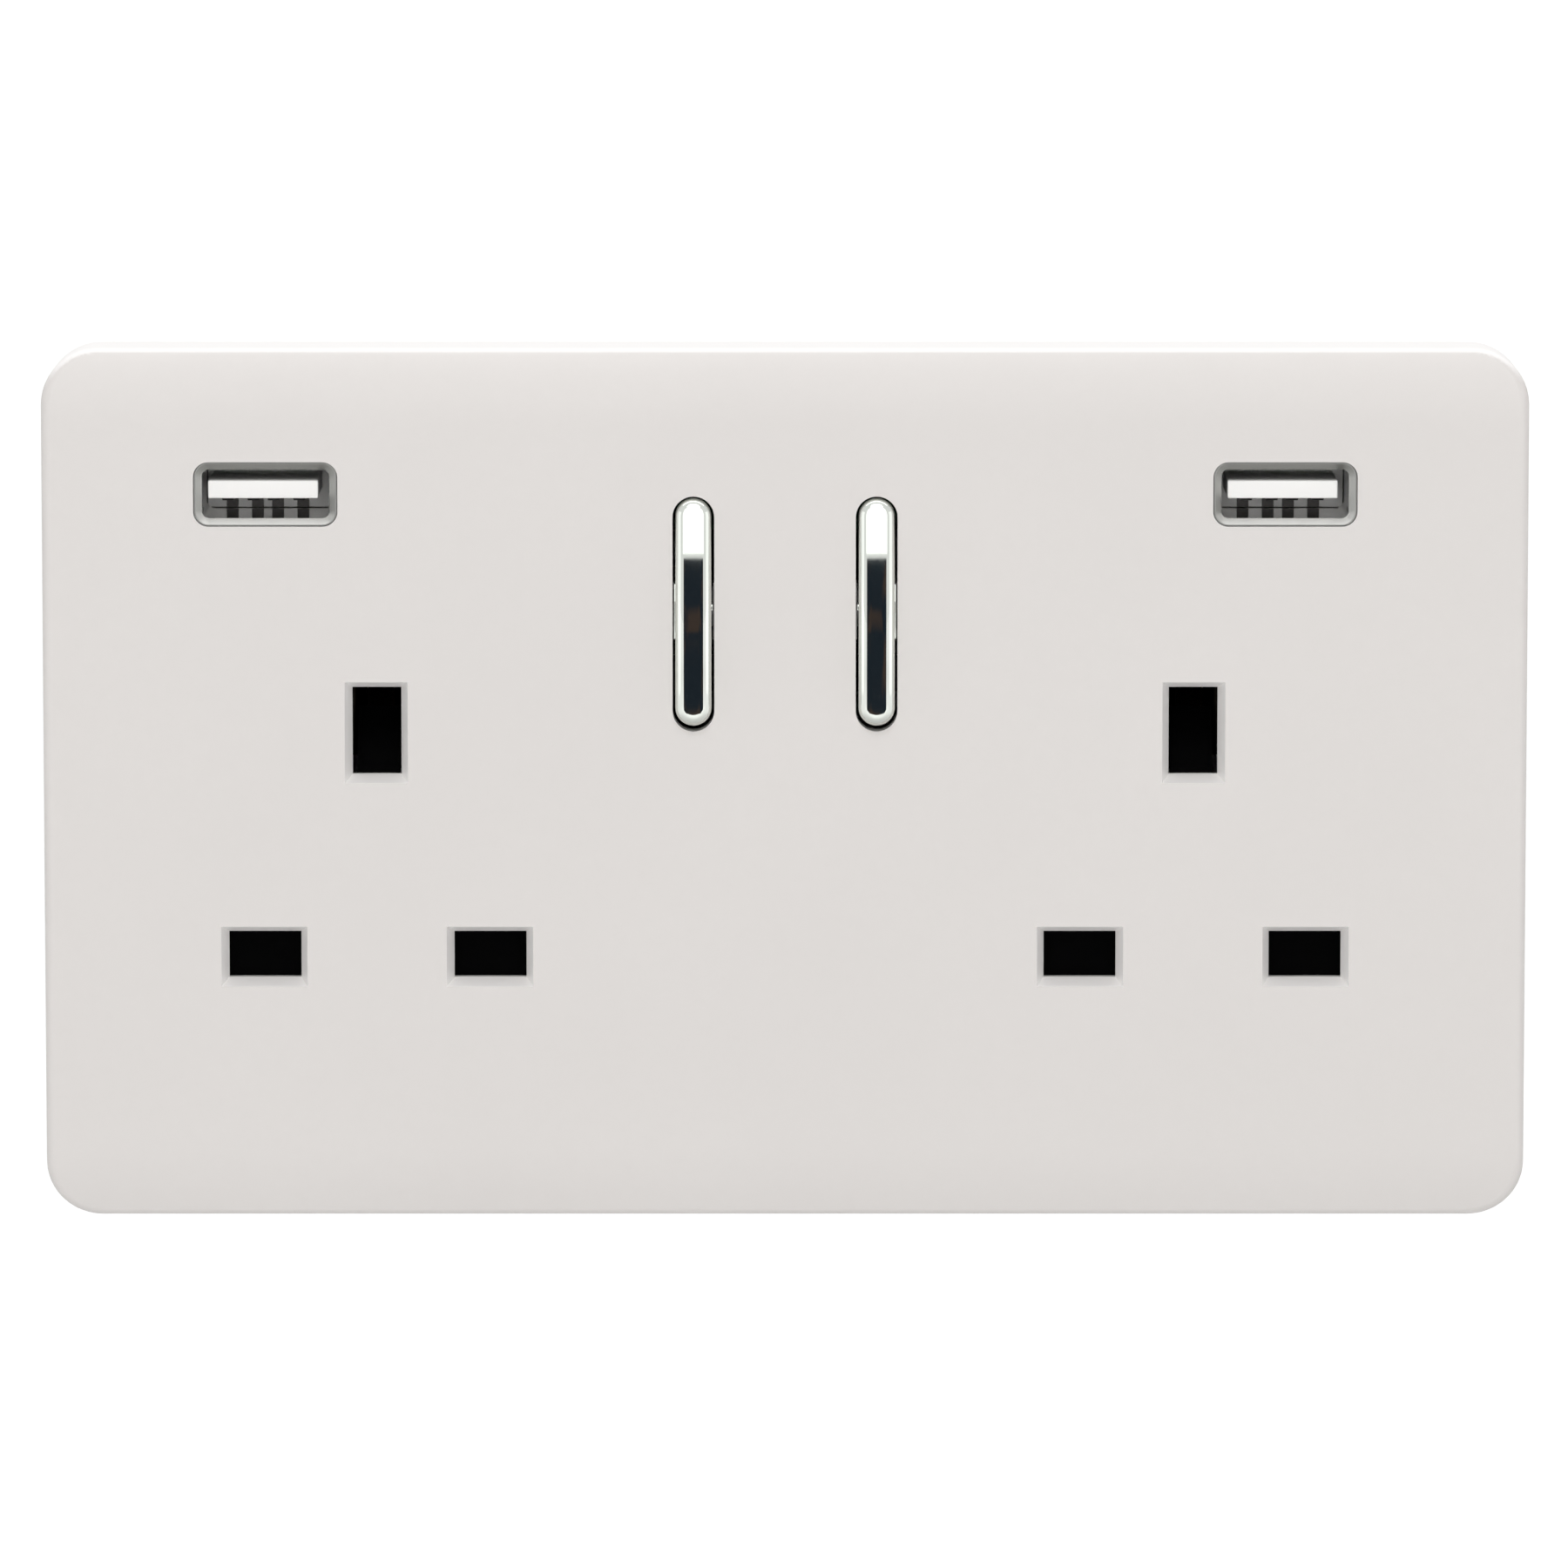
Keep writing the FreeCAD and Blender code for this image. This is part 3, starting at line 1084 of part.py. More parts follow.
def board_parts():
    rise = "part_row_rise"
    core_depth = (f"{BOARD_BACK} + coil_stand", f"{BOARD_BACK} + transformer_depth")
    core = box("transformer_core", centred("-transformer_offset", "transformer_width"), core_depth,
               centred(rise, "transformer_height"))
    coil = slab("transformer_coil", "coil_width", "transformer_height + 2 * coil_stand",
                (BOARD_BACK, f"{core_depth[1]} - coil_stand"), "coil_stand", x="-transformer_offset", z=rise)
    piece("transformer", fuse("transformer_whole", [core, coil]))
    piece("input_capacitor", standing_part("input_can", "input_can_radius", "input_can_length",
                                           "-input_can_offset"))
    cans = [standing_part(f"output_can_{number}", "output_can_radius", "output_can_length",
                          f"output_can_offset + {number} * output_can_pitch") for number in range(2)]
    piece("output_capacitors", fuse("output_cans", cans))
    piece("choke", standing_part("choke_drum", "choke_radius", "choke_length", "choke_offset"))
    piece("film_capacitor", slab("film_box", "film_height", "film_width",
                                 (BOARD_BACK, f"{BOARD_BACK} + film_depth"), "film_corner",
                                 x="film_offset", z=rise))
    piece("controller_chip", box("chip_body", centred("-chip_offset", "chip_height"),
                                 (BOARD_BACK, f"{BOARD_BACK} + chip_thick"), centred(rise, "chip_width")))


def build():
    front_plate()
    mounting_frame()
    rear_housing()
    assembly_screws()
    for side, sign in SIDES.items():
        for make in (shutter, shutter_spring, shutter_retainer, line_contact,
                     rocker_cap, rocker, plunger, plunger_spring, contact_arm):
            make(side, sign)
        for make in (port_shell, port_insulator, port_contacts):
            make(side)
    earth_bar()
    neutral_bar()
    switch_feed()
    terminal_blocks()
    terminal_screws()
    circuit_board()
    board_parts()


def write_pieces():
    doc.recompute()
    failed = [item.Name for item in doc.Objects if "Invalid" in item.State or "Error" in item.State]
    if failed:
        raise RuntimeError(f"features that did not build: {failed}")
    for item in PIECES:
        if item.Shape.isNull() or not item.Shape.isValid():
            raise RuntimeError(f"{item.Label} has no valid shape")
    os.makedirs("parts", exist_ok=True)
    for item in PIECES:
        item.Shape.exportStep(f"parts/{item.Label}.step")


build()
write_pieces()
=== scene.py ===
import json
import math

import bmesh
import bpy
from mathutils import Matrix, Vector


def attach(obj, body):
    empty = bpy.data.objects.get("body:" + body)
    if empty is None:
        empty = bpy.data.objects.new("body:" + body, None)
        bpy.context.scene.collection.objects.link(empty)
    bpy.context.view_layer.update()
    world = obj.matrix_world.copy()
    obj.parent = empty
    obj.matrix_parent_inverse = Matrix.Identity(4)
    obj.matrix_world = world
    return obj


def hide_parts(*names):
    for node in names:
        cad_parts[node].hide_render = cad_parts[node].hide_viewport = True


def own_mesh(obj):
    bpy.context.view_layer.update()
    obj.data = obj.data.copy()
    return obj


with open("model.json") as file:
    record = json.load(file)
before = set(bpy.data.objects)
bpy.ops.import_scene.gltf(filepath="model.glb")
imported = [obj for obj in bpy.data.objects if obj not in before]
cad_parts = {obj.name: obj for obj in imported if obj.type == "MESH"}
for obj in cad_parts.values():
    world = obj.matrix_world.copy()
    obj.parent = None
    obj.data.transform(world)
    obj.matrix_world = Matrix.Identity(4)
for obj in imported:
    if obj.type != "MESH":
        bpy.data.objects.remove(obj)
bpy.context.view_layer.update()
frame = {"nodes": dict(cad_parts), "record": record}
MM = 0.001
SIDES = {"left": -1, "right": 1}

# Camera, as the picture was taken
CAMERA_RISE = 7.0
CAMERA_DISTANCE = 1.1
CAMERA_NEAR = 0.01
VIEW_WIDTH = 0.1543
SENSOR_WIDTH = 36.0
AIM = Vector((-0.0001, -0.0095, 0.0001))

# Studio: levels of light, and the distances over which the floor fades to white
WHITE = (1.0, 1.0, 1.0)
AMBIENT = 0.31
FLOOR_LEVEL = -0.16
FLOOR_REACH = 40.0
NEAR_GLOW, NEAR_FADE = 0.45, (0.1, 0.5)
FAR_GLOW, FAR_FADE = 0.38, (0.5, 3.0)

# Lamps: width, height, place and watts, and whether shiny surfaces mirror them. A place is in
# degrees to the right of straight ahead, degrees up, and metres from the aim.
LAMPS = (
    ("key", 0.8, 0.5, (0.0, 42.0, 1.5), 6.9, True),
    ("panel", 1.2, 0.6, (0.0, 17.2, 1.7), 2.3, True),
    ("overhead", 2.2, 1.2, (180.0, 74.745, 1.1402), 10.0, True),
    ("side_box", 1.0, 1.0, (-66.0, 4.0, 1.4), 1.5, True),
    ("side_box", 1.0, 1.0, (66.0, 4.0, 1.4), 1.5, True),
    ("port_fill", 0.4, 0.2, (0.0, 3.0, 1.15), 2.0, False),
)

# Dark cards that the chrome mirrors: width, height and place
FLAGS = (
    ("high_flag", 0.50, 0.20, (0.0, 2.55, 1.3)),
    ("low_flag", 0.34, 0.22, (0.0, -7.0, 0.9)),
)

# Tones of what several finishes share, or of what lies on a surface
BRASS = (0.72, 0.52, 0.22)
SETTLED_DUST = (0.45, 0.43, 0.40)
PIN_MARK = (0.60, 0.59, 0.57)
# Painted shade: black for the brass contacts deep inside the pin holes.
PAINTED_SHADE_BLACK = (0.010, 0.008, 0.006)
# Painted light: pale for the plate's hole slopes and its faces turned up.
PAINTED_LIGHT_WHITE = (0.92, 0.90, 0.885)
# Painted shade: dark for the ceiling and side walls inside the ports.
PAINTED_SHADE_STEEL = (0.12, 0.12, 0.115)

# Where a finish changes, in millimetres: from where it is absent to where it is full
BRASS_SHADE_DEPTHS = (13.0, 9.0)
SLOPES_ACROSS, SLOPES_UP = (70.0, 68.0), (40.0, 38.0)
PORT_LIP, PORT_CEILING = (-8.3, -8.8), (30.3, 30.7)
PIN_RING_INSIDE, PIN_RING_OUTSIDE = (2.2, 2.35), (2.75, 2.6)
CAN_STRIPE = (1.63, 1.70)

# What repeats in a finish, in millimetres
PIN_PITCH_ACROSS, PIN_PITCH_UP = 24.0, 21.0
CAN_PITCH = 3.8
BOARD_TRACKS, BOARD_PADS = 4.0, 2.54
TAPE_WIDTH = 2.4

# Rockers, in millimetres: x to the right, y back from the pivot, z up, before they tilt
ROCKER_PIVOT = (9.0, -5.4, 16.9)
ROCKER_TILT = math.radians(-3.5)
CAP_HALF_WIDTH = 3.55 / 2
CAP_HALF_LENGTH = 22.4 / 2
CAP_CROWN = -5.7
CAP_SAG = 0.5
CAP_BOW = (CAP_HALF_LENGTH ** 2 + CAP_SAG ** 2) / (2 * CAP_SAG)
CAP_ROOT = -1.2
CAP_ROUND = 0.9
OUTER_EAR = ((1.5, -3.8, -2.7), (1.915, -2.4, 2.7))
INNER_EAR = ((-1.915, -3.8, 0.1), (-1.5, -2.4, 0.7))
EAR_SOFTNESS = 0.06

# Springs, in millimetres: where their ends are, the radius to the middle of the wire, and the
# wire's own radius. The plunger's ends are measured back from the rocker's pivot.
SHUTTER_SPRING_PLACE = (40.2, -3.6)
SHUTTER_SPRING_ENDS = (-31.77, -19.97)
SHUTTER_SPRING = {"radius": 0.75, "wire": 0.16, "turns": 8}
PLUNGER_SPRING_ENDS = (5.0, 9.4)
PLUNGER_SPRING = {"radius": 1.22, "wire": 0.22, "turns": 5}

# The closed turn at each end of a spring: its share of a turn, and its pitch in wire radii
CLOSED_TURN = 0.9
CLOSED_PITCH = 2.2

# Ports, in millimetres: the middle of each across and up, and what stands inside the shell
PORTS = {"left": (-51.0, 28.7), "right": (49.1, 28.7)}
BLOCK_HALF_WIDTH, BLOCK_HALF_HEIGHT = 6.19, 2.34
BLOCK_FRONT, BLOCK_BACK = 2.2, 5.2
BLOCK_SOFTNESS = 0.04
TONGUE_SHIFT = -0.25
TONGUE_HALF_WIDTH = 5.4
TONGUE_UNDERSIDE, TONGUE_TOP = -0.45, 1.30
TONGUE_FRONT = -8.6
TONGUE_INTO_BLOCK = 0.4
TONGUE_SOFTNESS = 0.14
STRIPS = (-3.5, -1.0, 1.0, 3.5)
STRIP_HALF_WIDTH = 0.575
STRIP_FOOT = -2.30

# The lower edge of a contact strip from its tip: back from the wall, and down from the tongue
STRIP_BOW = ((-8.0, 0.0), (-8.0, 0.10), (-7.3, 0.22), (-6.5, 0.40), (-5.7, 0.25), (1.8, 0.25))

# How finely the curves are divided
CAP_SIDE_STEPS, CAP_END_STEPS, CAP_ROUND_STEPS = 48, 20, 14
TURN_STEPS, WIRE_SIDES = 20, 10
SOFT_EDGE_STEPS = 3
SAME_POINT = 1e-7
SHARP_EDGE = math.radians(50)


class Value:
    """What comes out of a node. Sums on it add Math nodes."""

    def __init__(self, owner, socket):
        self.owner = owner
        self.socket = socket

    def maths(self, operation, first, second=0.0):
        return self.owner.node("ShaderNodeMath", {"operation": operation}, {0: first, 1: second})

    def __add__(self, other):
        return self.maths("ADD", self, other)

    def __radd__(self, other):
        return self.maths("ADD", other, self)

    def __sub__(self, other):
        return self.maths("SUBTRACT", self, other)

    def __rsub__(self, other):
        return self.maths("SUBTRACT", other, self)

    def __mul__(self, other):
        return self.maths("MULTIPLY", self, other)

    def __mod__(self, step):
        return self.maths("FLOORED_MODULO", self, step)

    def __or__(self, other):
        """The larger of two."""
        return self.maths("MAXIMUM", self, other)

    def root(self):
        return self.maths("SQRT", self)

    def size(self):
        """Its value without the sign."""
        return self.maths("ABSOLUTE", self)

    def swing(self, share):
        """A share of how far it is above or below one half."""
        return (self - 0.5) * share

    def smoothed(self, low, high):
        """0 at low, 1 at high, and a smooth change between, whichever of the two is larger."""
        return self.owner.node("ShaderNodeMapRange", {"interpolation_type": "SMOOTHSTEP"},
                               {"Value": self, "From Min": low, "From Max": high})


class Nodes:
    """The node tree of a material or world."""

    def __init__(self, owner):
        owner.use_nodes = True
        self.tree = owner.node_tree

    def node(self, kind, settings, sockets, output=0):
        """Adds a node: its settings, then values or links on its sockets, by name or number."""
        made = self.tree.nodes.new(kind)
        for word, setting in settings.items():
            setattr(made, word, setting)
        for socket, value in sockets.items():
            self.feed(made.inputs[socket], value)
        return Value(self, made.outputs[output])

    def feed(self, socket, value):
        """Links a value to a socket, or sets a number or colour on it."""
        if isinstance(value, Value):
            self.tree.links.new(value.socket, socket)
        elif socket.type == "RGBA":
            socket.default_value = (*value, 1.0)
        else:
            socket.default_value = value

    def seen(self):
        """1 for the rays by which the camera, a gloss or a clear material looks."""
        camera_ray, glossy_ray, clear_ray = (
            self.node("ShaderNodeLightPath", {}, {}, output=f"Is {kind} Ray")
            for kind in ("Camera", "Glossy", "Transmission"))
        return camera_ray | glossy_ray | clear_ray


class Finish(Nodes):
    """A surface finish. Numbers that are the same all over sit on the shader's own sockets."""

    def __init__(self, name, **shader):
        self.material = bpy.data.materials.new(name)
        super().__init__(self.material)
        self.shader = self.tree.nodes["Principled BSDF"]
        self.set(**shader)
        self.place = self.node("ShaderNodeTexCoord", {}, {}, output="Object")

    def set(self, **sockets):
        for word, value in sockets.items():
            self.feed(self.shader.inputs[word.replace("_", " ")], value)
        return self

    def tone(self):
        """The tone that the shader has so far, for another to lie over."""
        return Value(self, self.shader.inputs["Base Color"].links[0].from_socket)

    def drawn_out(self, x=1.0, y=1.0, z=1.0):
        """Places on the surface, drawn out along an axis that has a small factor."""
        return self.node("ShaderNodeMapping", {}, {"Vector": self.place, "Scale": (x, y, z)})

    def patches(self, size_mm, detail=2.0, rough=0.5, where=None):
        """Soft patches of about one size, from 0 to 1."""
        return self.node("ShaderNodeTexNoise", {},
                         {"Vector": where or self.place, "Scale": 1 / (size_mm * MM),
                          "Detail": detail, "Roughness": rough})

    def cells(self, size_mm, feature="F1"):
        """Distances in a pattern of cells, from the middle of a cell or from its edge."""
        return self.node("ShaderNodeTexVoronoi", {"feature": feature},
                         {"Vector": self.place, "Scale": 1 / (size_mm * MM)})

    def bands(self, pitch_mm, letter, wander):
        """Rings of winding, across one axis."""
        return self.node("ShaderNodeTexWave", {"wave_type": "BANDS", "bands_direction": letter},
                         {"Vector": self.place, "Scale": math.pi / (10 * pitch_mm * MM),
                          "Distortion": wander, "Detail": 2.0})

    def along(self, letter):
        """Distance along an axis, in millimetres."""
        return self.node("ShaderNodeSeparateXYZ", {}, {0: self.place}, output=letter) * (1 / MM)

    def facing(self, letter):
        """How far the surface faces along an axis, from -1 to 1."""
        normal = self.node("ShaderNodeNewGeometry", {}, {}, output="Normal")
        return self.node("ShaderNodeSeparateXYZ", {}, {0: normal}, output=letter)

    def facing_front(self):
        """How far the surface faces the room, from -1 to 1."""
        return 0 - self.facing("Y")

    def blend(self, share, first, second):
        """A colour between two colours."""
        return self.node("ShaderNodeMix", {"data_type": "RGBA"}, {0: share, 6: first, 7: second},
                         output=2)

    def relief(self, height, depth_mm):
        """A surface that stands out by a depth where height is 1."""
        return self.node("ShaderNodeBump", {}, {"Height": height, "Distance": depth_mm * MM})


def shade(colour, factor):
    return tuple(channel * factor for channel in colour)


def moulding(name, colour, roughness, grain_mm=0.25, depth_mm=0.004, mottle=0.03, dust=0.0,
             **shader):
    """A moulded plastic: a faint mottle, a fine mould grain and slightly uneven gloss."""
    finish = Finish(name, **shader)
    cloud = finish.patches(14.0, detail=4.0)
    grain = finish.patches(grain_mm, detail=3.0, rough=0.6)
    tone = finish.blend(cloud.smoothed(0.3, 0.7),
                        shade(colour, 1 - mottle), shade(colour, 1 + mottle))
    tone = finish.blend(grain * (0.5 * mottle), tone, shade(colour, 0.8))
    if dust:
        settled = finish.patches(2.2, detail=6.0, rough=0.7).smoothed(0.55, 0.8)
        tone = finish.blend(settled * dust, tone, SETTLED_DUST)
    return finish.set(Base_Color=tone,
                      Roughness=roughness + cloud.swing(0.08) + grain.swing(0.05),
                      Normal=finish.relief(grain * 0.7 + cloud * 0.3, depth_mm))


def metal(name, colour, roughness, lines=(1.0, 1.0, 1.0), line_mm=0.12, tarnish=None):
    """A worked metal: drawing or rolling lines along one axis, and a little tarnish in patches."""
    finish = Finish(name, Metallic=1.0)
    drawn = finish.patches(line_mm, detail=3.0, where=finish.drawn_out(*lines))
    cloud = finish.patches(3.0, detail=4.0, rough=0.6)
    tone = finish.blend(drawn, shade(colour, 0.92), shade(colour, 1.06))
    if tarnish:
        tone = finish.blend(cloud.smoothed(0.5, 0.78) * 0.6, tone, tarnish)
    return finish.set(Base_Color=tone,
                      Roughness=roughness + cloud.swing(0.12) + drawn.swing(0.08),
                      Normal=finish.relief(drawn, 0.002))


def housing_finish():
    """Pale box moulding, with the faint rings that the ejector pins leave on its flat back."""
    finish = moulding("housing_moulding", (0.76, 0.75, 0.73), 0.52, grain_mm=0.4, depth_mm=0.016,
                      mottle=0.02, dust=0.05)
    across = finish.along("X") % PIN_PITCH_ACROSS - PIN_PITCH_ACROSS / 2
    up = finish.along("Z") % PIN_PITCH_UP - PIN_PITCH_UP / 2
    from_pin = (across * across + up * up).root()
    ring = from_pin.smoothed(*PIN_RING_INSIDE) * from_pin.smoothed(*PIN_RING_OUTSIDE)
    on_back = finish.facing("Y").smoothed(0.95, 0.99)
    return finish.set(Base_Color=finish.blend(ring * on_back * 0.5, finish.tone(), PIN_MARK))


def contact_finish():
    """Rolled brass, with painted shade: black near the shutters and where it faces them, for the
    shadow deep in the socket.
    """
    finish = metal("rolled_brass", BRASS, 0.30, lines=(0.08, 1.0, 1.0), tarnish=(0.42, 0.25, 0.10))
    # Painted shade: the brass goes black towards the front and on faces that look to the front.
    near_shutters = finish.along("Y").smoothed(*BRASS_SHADE_DEPTHS)
    painted_shade_on_brass = near_shutters | finish.facing_front().smoothed(0.5, 0.9)
    return finish.set(Base_Color=finish.blend(painted_shade_on_brass, finish.tone(), PAINTED_SHADE_BLACK))


def plate_finish():
    """Warm white urea from a mirror-finished mould: a soft sheen with the faintest orange peel.

    Painted light makes it paler on the slopes of the pin holes and on the top side.
    """
    colour = (0.724, 0.694, 0.672)
    finish = Finish("warm_white_moulding", Specular_IOR_Level=0.5)
    cloud = finish.patches(26.0, detail=3.0)
    mottle = finish.patches(1.6, detail=5.0, rough=0.65)
    peel = finish.patches(0.9, detail=2.0)
    tone = finish.blend(cloud.smoothed(0.35, 0.65), shade(colour, 0.994), shade(colour, 1.006))
    tone = finish.blend(mottle.smoothed(0.3, 0.75) * 0.4, tone, shade(colour, 0.978))
    # Painted light: within the rim, faces turned away from the front are made paler, as are faces
    # turned up.
    turned_away = finish.facing_front().smoothed(0.93, 0.80)
    within_rim = (finish.along("X").size().smoothed(*SLOPES_ACROSS)
                  * finish.along("Z").size().smoothed(*SLOPES_UP))
    painted_light_share = turned_away * (within_rim | finish.facing("Z").smoothed(0.3, 0.7))
    return finish.set(Base_Color=finish.blend(painted_light_share, tone, PAINTED_LIGHT_WHITE),
                      Roughness=0.36 + mottle.swing(0.06),
                      Normal=finish.relief(peel * 0.8 + mottle * 0.2, 0.0018))


def chrome_finish():
    """Bright chrome plate over moulding: nearly a mirror, with faint wipe marks."""
    colour = (0.640, 0.664, 0.622)
    finish = Finish("bright_chrome", Metallic=1.0)
    wiped = finish.patches(0.5, detail=4.0, where=finish.drawn_out(z=0.25))
    cloud = finish.patches(3.0, detail=3.0)
    return finish.set(Base_Color=finish.blend(cloud, shade(colour, 0.98), shade(colour, 1.02)),
                      Roughness=0.02 + wiped * 0.03,
                      Normal=finish.relief(cloud * 0.6 + wiped * 0.4, 0.0006))


def port_steel_finish():
    """Nickelled sheet: a satin lip, paler where it faces up by painted light; a bright floor that
    mirrors the contacts; and painted shade on the ceiling and side walls.
    """
    colour = (0.87, 0.86, 0.84)
    finish = Finish("nickelled_port_sheet", Metallic=1.0)
    drawn = finish.patches(0.10, detail=3.0, where=finish.drawn_out(y=0.08))
    cloud = finish.patches(1.4, detail=4.0, rough=0.6)
    lip = finish.along("Y").smoothed(*PORT_LIP)
    # Painted light: the lip is paler where it faces up.
    satin = finish.blend(finish.facing("Z").smoothed(-0.3, 0.6),
                         (0.34, 0.34, 0.325), (0.60, 0.60, 0.58))
    satin = finish.blend(cloud * 0.25, satin, (0.30, 0.30, 0.29))
    bright = finish.blend(drawn, shade(colour, 0.96), shade(colour, 1.03))
    # Painted shade: the ceiling and side walls behind the lip are made dark.
    ceiling = finish.along("Z").smoothed(*PORT_CEILING)
    side_walls = finish.facing("X").size().smoothed(0.5, 0.9)
    dark = (ceiling | side_walls) * (1 - lip)
    return finish.set(Base_Color=finish.blend(dark, finish.blend(lip, bright, satin), PAINTED_SHADE_STEEL),
                      Roughness=0.06 + cloud * 0.05 + lip * 0.22,
                      Normal=finish.relief(drawn, 0.0006))


def board_finish():
    """Green solder resist over copper tracks, with bare pads."""
    finish = Finish("board_laminate", Specular_IOR_Level=0.6)
    tracks = finish.cells(BOARD_TRACKS, "DISTANCE_TO_EDGE").smoothed(0.05, 0.09)
    weave = finish.patches(0.35, detail=2.0, where=finish.drawn_out(x=3.0))
    resist = finish.blend(weave, (0.012, 0.085, 0.035), (0.018, 0.115, 0.048))
    tone = finish.blend(tracks, (0.03, 0.16, 0.06), resist)
    pads = finish.cells(BOARD_PADS).smoothed(0.12, 0.16)
    return finish.set(Base_Color=finish.blend(pads, (0.62, 0.60, 0.55), tone),
                      Metallic=(1 - pads) * 0.9, Roughness=0.3 + weave * 0.15,
                      Normal=finish.relief(1 - tracks, 0.03))


def transformer_finish():
    """Yellow tape round a ferrite core: overlapping turns with a darker seam between them."""
    finish = Finish("taped_winding", Specular_IOR_Level=0.45)
    turns = finish.bands(TAPE_WIDTH, "Z", wander=0.6)
    ripple = finish.patches(0.8, detail=3.0)
    tape = finish.blend(ripple, (0.72, 0.46, 0.05), (0.80, 0.55, 0.08))
    return finish.set(Base_Color=finish.blend(turns.smoothed(0.05, 0.25), (0.34, 0.20, 0.03), tape),
                      Roughness=0.36 + ripple * 0.15, Normal=finish.relief(turns, 0.05))


def can_finish():
    """Heat-shrunk sleeve with a pale polarity stripe down one side of each can."""
    finish = Finish("sleeved_can", Specular_IOR_Level=0.5)
    across = (finish.along("X") % CAN_PITCH - CAN_PITCH / 2).size()
    shrink = finish.patches(1.2, detail=4.0)
    sleeve = finish.blend(shrink, (0.010, 0.012, 0.022), (0.020, 0.024, 0.045))
    stripe = across.smoothed(*CAN_STRIPE)
    return finish.set(Base_Color=finish.blend(stripe, sleeve, (0.42, 0.43, 0.46)),
                      Roughness=0.25 + shrink * 0.2, Normal=finish.relief(shrink, 0.02))


def finishes():
    """A finish for each material slot of the part."""
    return {
        "plate": plate_finish(),
        "frame": moulding("frame_moulding", (0.74, 0.73, 0.71), 0.50, depth_mm=0.010, dust=0.04),
        "housing": housing_finish(),
        "inner_moulding": moulding("inner_moulding", (0.78, 0.78, 0.76), 0.5),
        "shutter": moulding("shutter_moulding", (0.0015, 0.0015, 0.0017), 0.7,
                            Specular_IOR_Level=0.02),
        "plunger": moulding("plunger_moulding", (0.66, 0.62, 0.52), 0.38),
        "lever_chrome": chrome_finish(),
        "contact_brass": contact_finish(),
        "terminal_brass": metal("turned_brass", BRASS, 0.34, lines=(1.0, 1.0, 0.1),
                                tarnish=(0.45, 0.28, 0.12)),
        "terminal_screw": metal("brass_screw", (0.70, 0.53, 0.25), 0.30,
                                tarnish=(0.46, 0.30, 0.13)),
        "spring_steel": metal("drawn_spring_wire", (0.50, 0.50, 0.51), 0.26, line_mm=0.06),
        "steel_screw": metal("zinc_plated_screw", (0.60, 0.60, 0.58), 0.34,
                             tarnish=(0.42, 0.42, 0.38)),
        "port_steel": port_steel_finish(),
        "port_insulator": moulding("port_insulator", (0.90, 0.89, 0.87), 0.4, grain_mm=0.15,
                                   mottle=0.01),
        # Painted shade: the contact strips are made near black, for the shade inside the port.
        "port_contact": metal("port_contact_strip", (0.075, 0.072, 0.070), 0.42,
                              lines=(1.0, 0.08, 1.0)),
        "board": board_finish(),
        "transformer": transformer_finish(),
        "capacitor": can_finish(),
        "film_capacitor": moulding("dipped_film_capacitor", (0.70, 0.55, 0.05), 0.30,
                                   grain_mm=0.8, mottle=0.05),
        "choke": moulding("shrink_sleeve", (0.02, 0.02, 0.022), 0.34, grain_mm=0.9,
                          depth_mm=0.02),
        "chip": moulding("moulded_package", (0.018, 0.018, 0.020), 0.62, grain_mm=0.2),
    }


def dress(coats):
    """Gives every CAD piece the finish of its material slot."""
    for part in frame["record"]["subparts"]:
        node = frame["nodes"][part["node"]]
        node.data.materials.clear()
        node.data.materials.append(coats[part["material_slot"]].material)


def put(name, data):
    """A new object in the scene."""
    thing = bpy.data.objects.new(name, data)
    bpy.context.scene.collection.objects.link(thing)
    return thing


def put_mesh(name, made, finish):
    """A new object from a bmesh, with its finish."""
    mesh = bpy.data.meshes.new(name)
    made.to_mesh(mesh)
    made.free()
    mesh.materials.append(finish.material)
    return put(name, mesh)


def mesh_piece(name, made, coats, slot, body, stands_for):
    """Turns a bmesh into a piece that stands for a CAD node, with its slot's finish and body."""
    bmesh.ops.recalc_face_normals(made, faces=made.faces)
    for face in made.faces:
        face.smooth = True
    for edge in made.edges:
        edge.smooth = edge.calc_face_angle(0.0) < SHARP_EDGE
    piece = put_mesh(name, made, coats[slot])
    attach(piece, body)
    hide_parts(stands_for)
    return piece


def skin(made, loops, closed_front=True):
    """Joins neighbouring loops of equal length with quads, and caps the first and the last."""
    rings = [[made.verts.new(Vector(point) * MM) for point in loop] for loop in loops]
    for low, high in zip(rings, rings[1:]):
        for here in range(len(low)):
            there = (here + 1) % len(low)
            made.faces.new((low[here], low[there], high[there], high[here]))
    made.faces.new(rings[0])
    if closed_front:
        made.faces.new(rings[-1])


def block(made, low, high, softness):
    """Adds a box with softened edges, in millimetres."""
    middle = (Vector(low) + Vector(high)) / 2
    spread = Vector(high) - Vector(low)
    place = Matrix.Translation(middle * MM) @ Matrix.Diagonal((*(spread * MM), 1.0))
    verts = bmesh.ops.create_cube(made, size=1.0, matrix=place)["verts"]
    edges = list({edge for vert in verts for edge in vert.link_edges})
    bmesh.ops.bevel(made, geom=edges, offset=softness * MM, segments=SOFT_EDGE_STEPS,
                    affect="EDGES", profile=0.5)


def on_circle(first, second, turns):
    """The point of the circle through two directions at right angles, some turns from the first."""
    return first * math.cos(2 * math.pi * turns) + second * math.sin(2 * math.pi * turns)


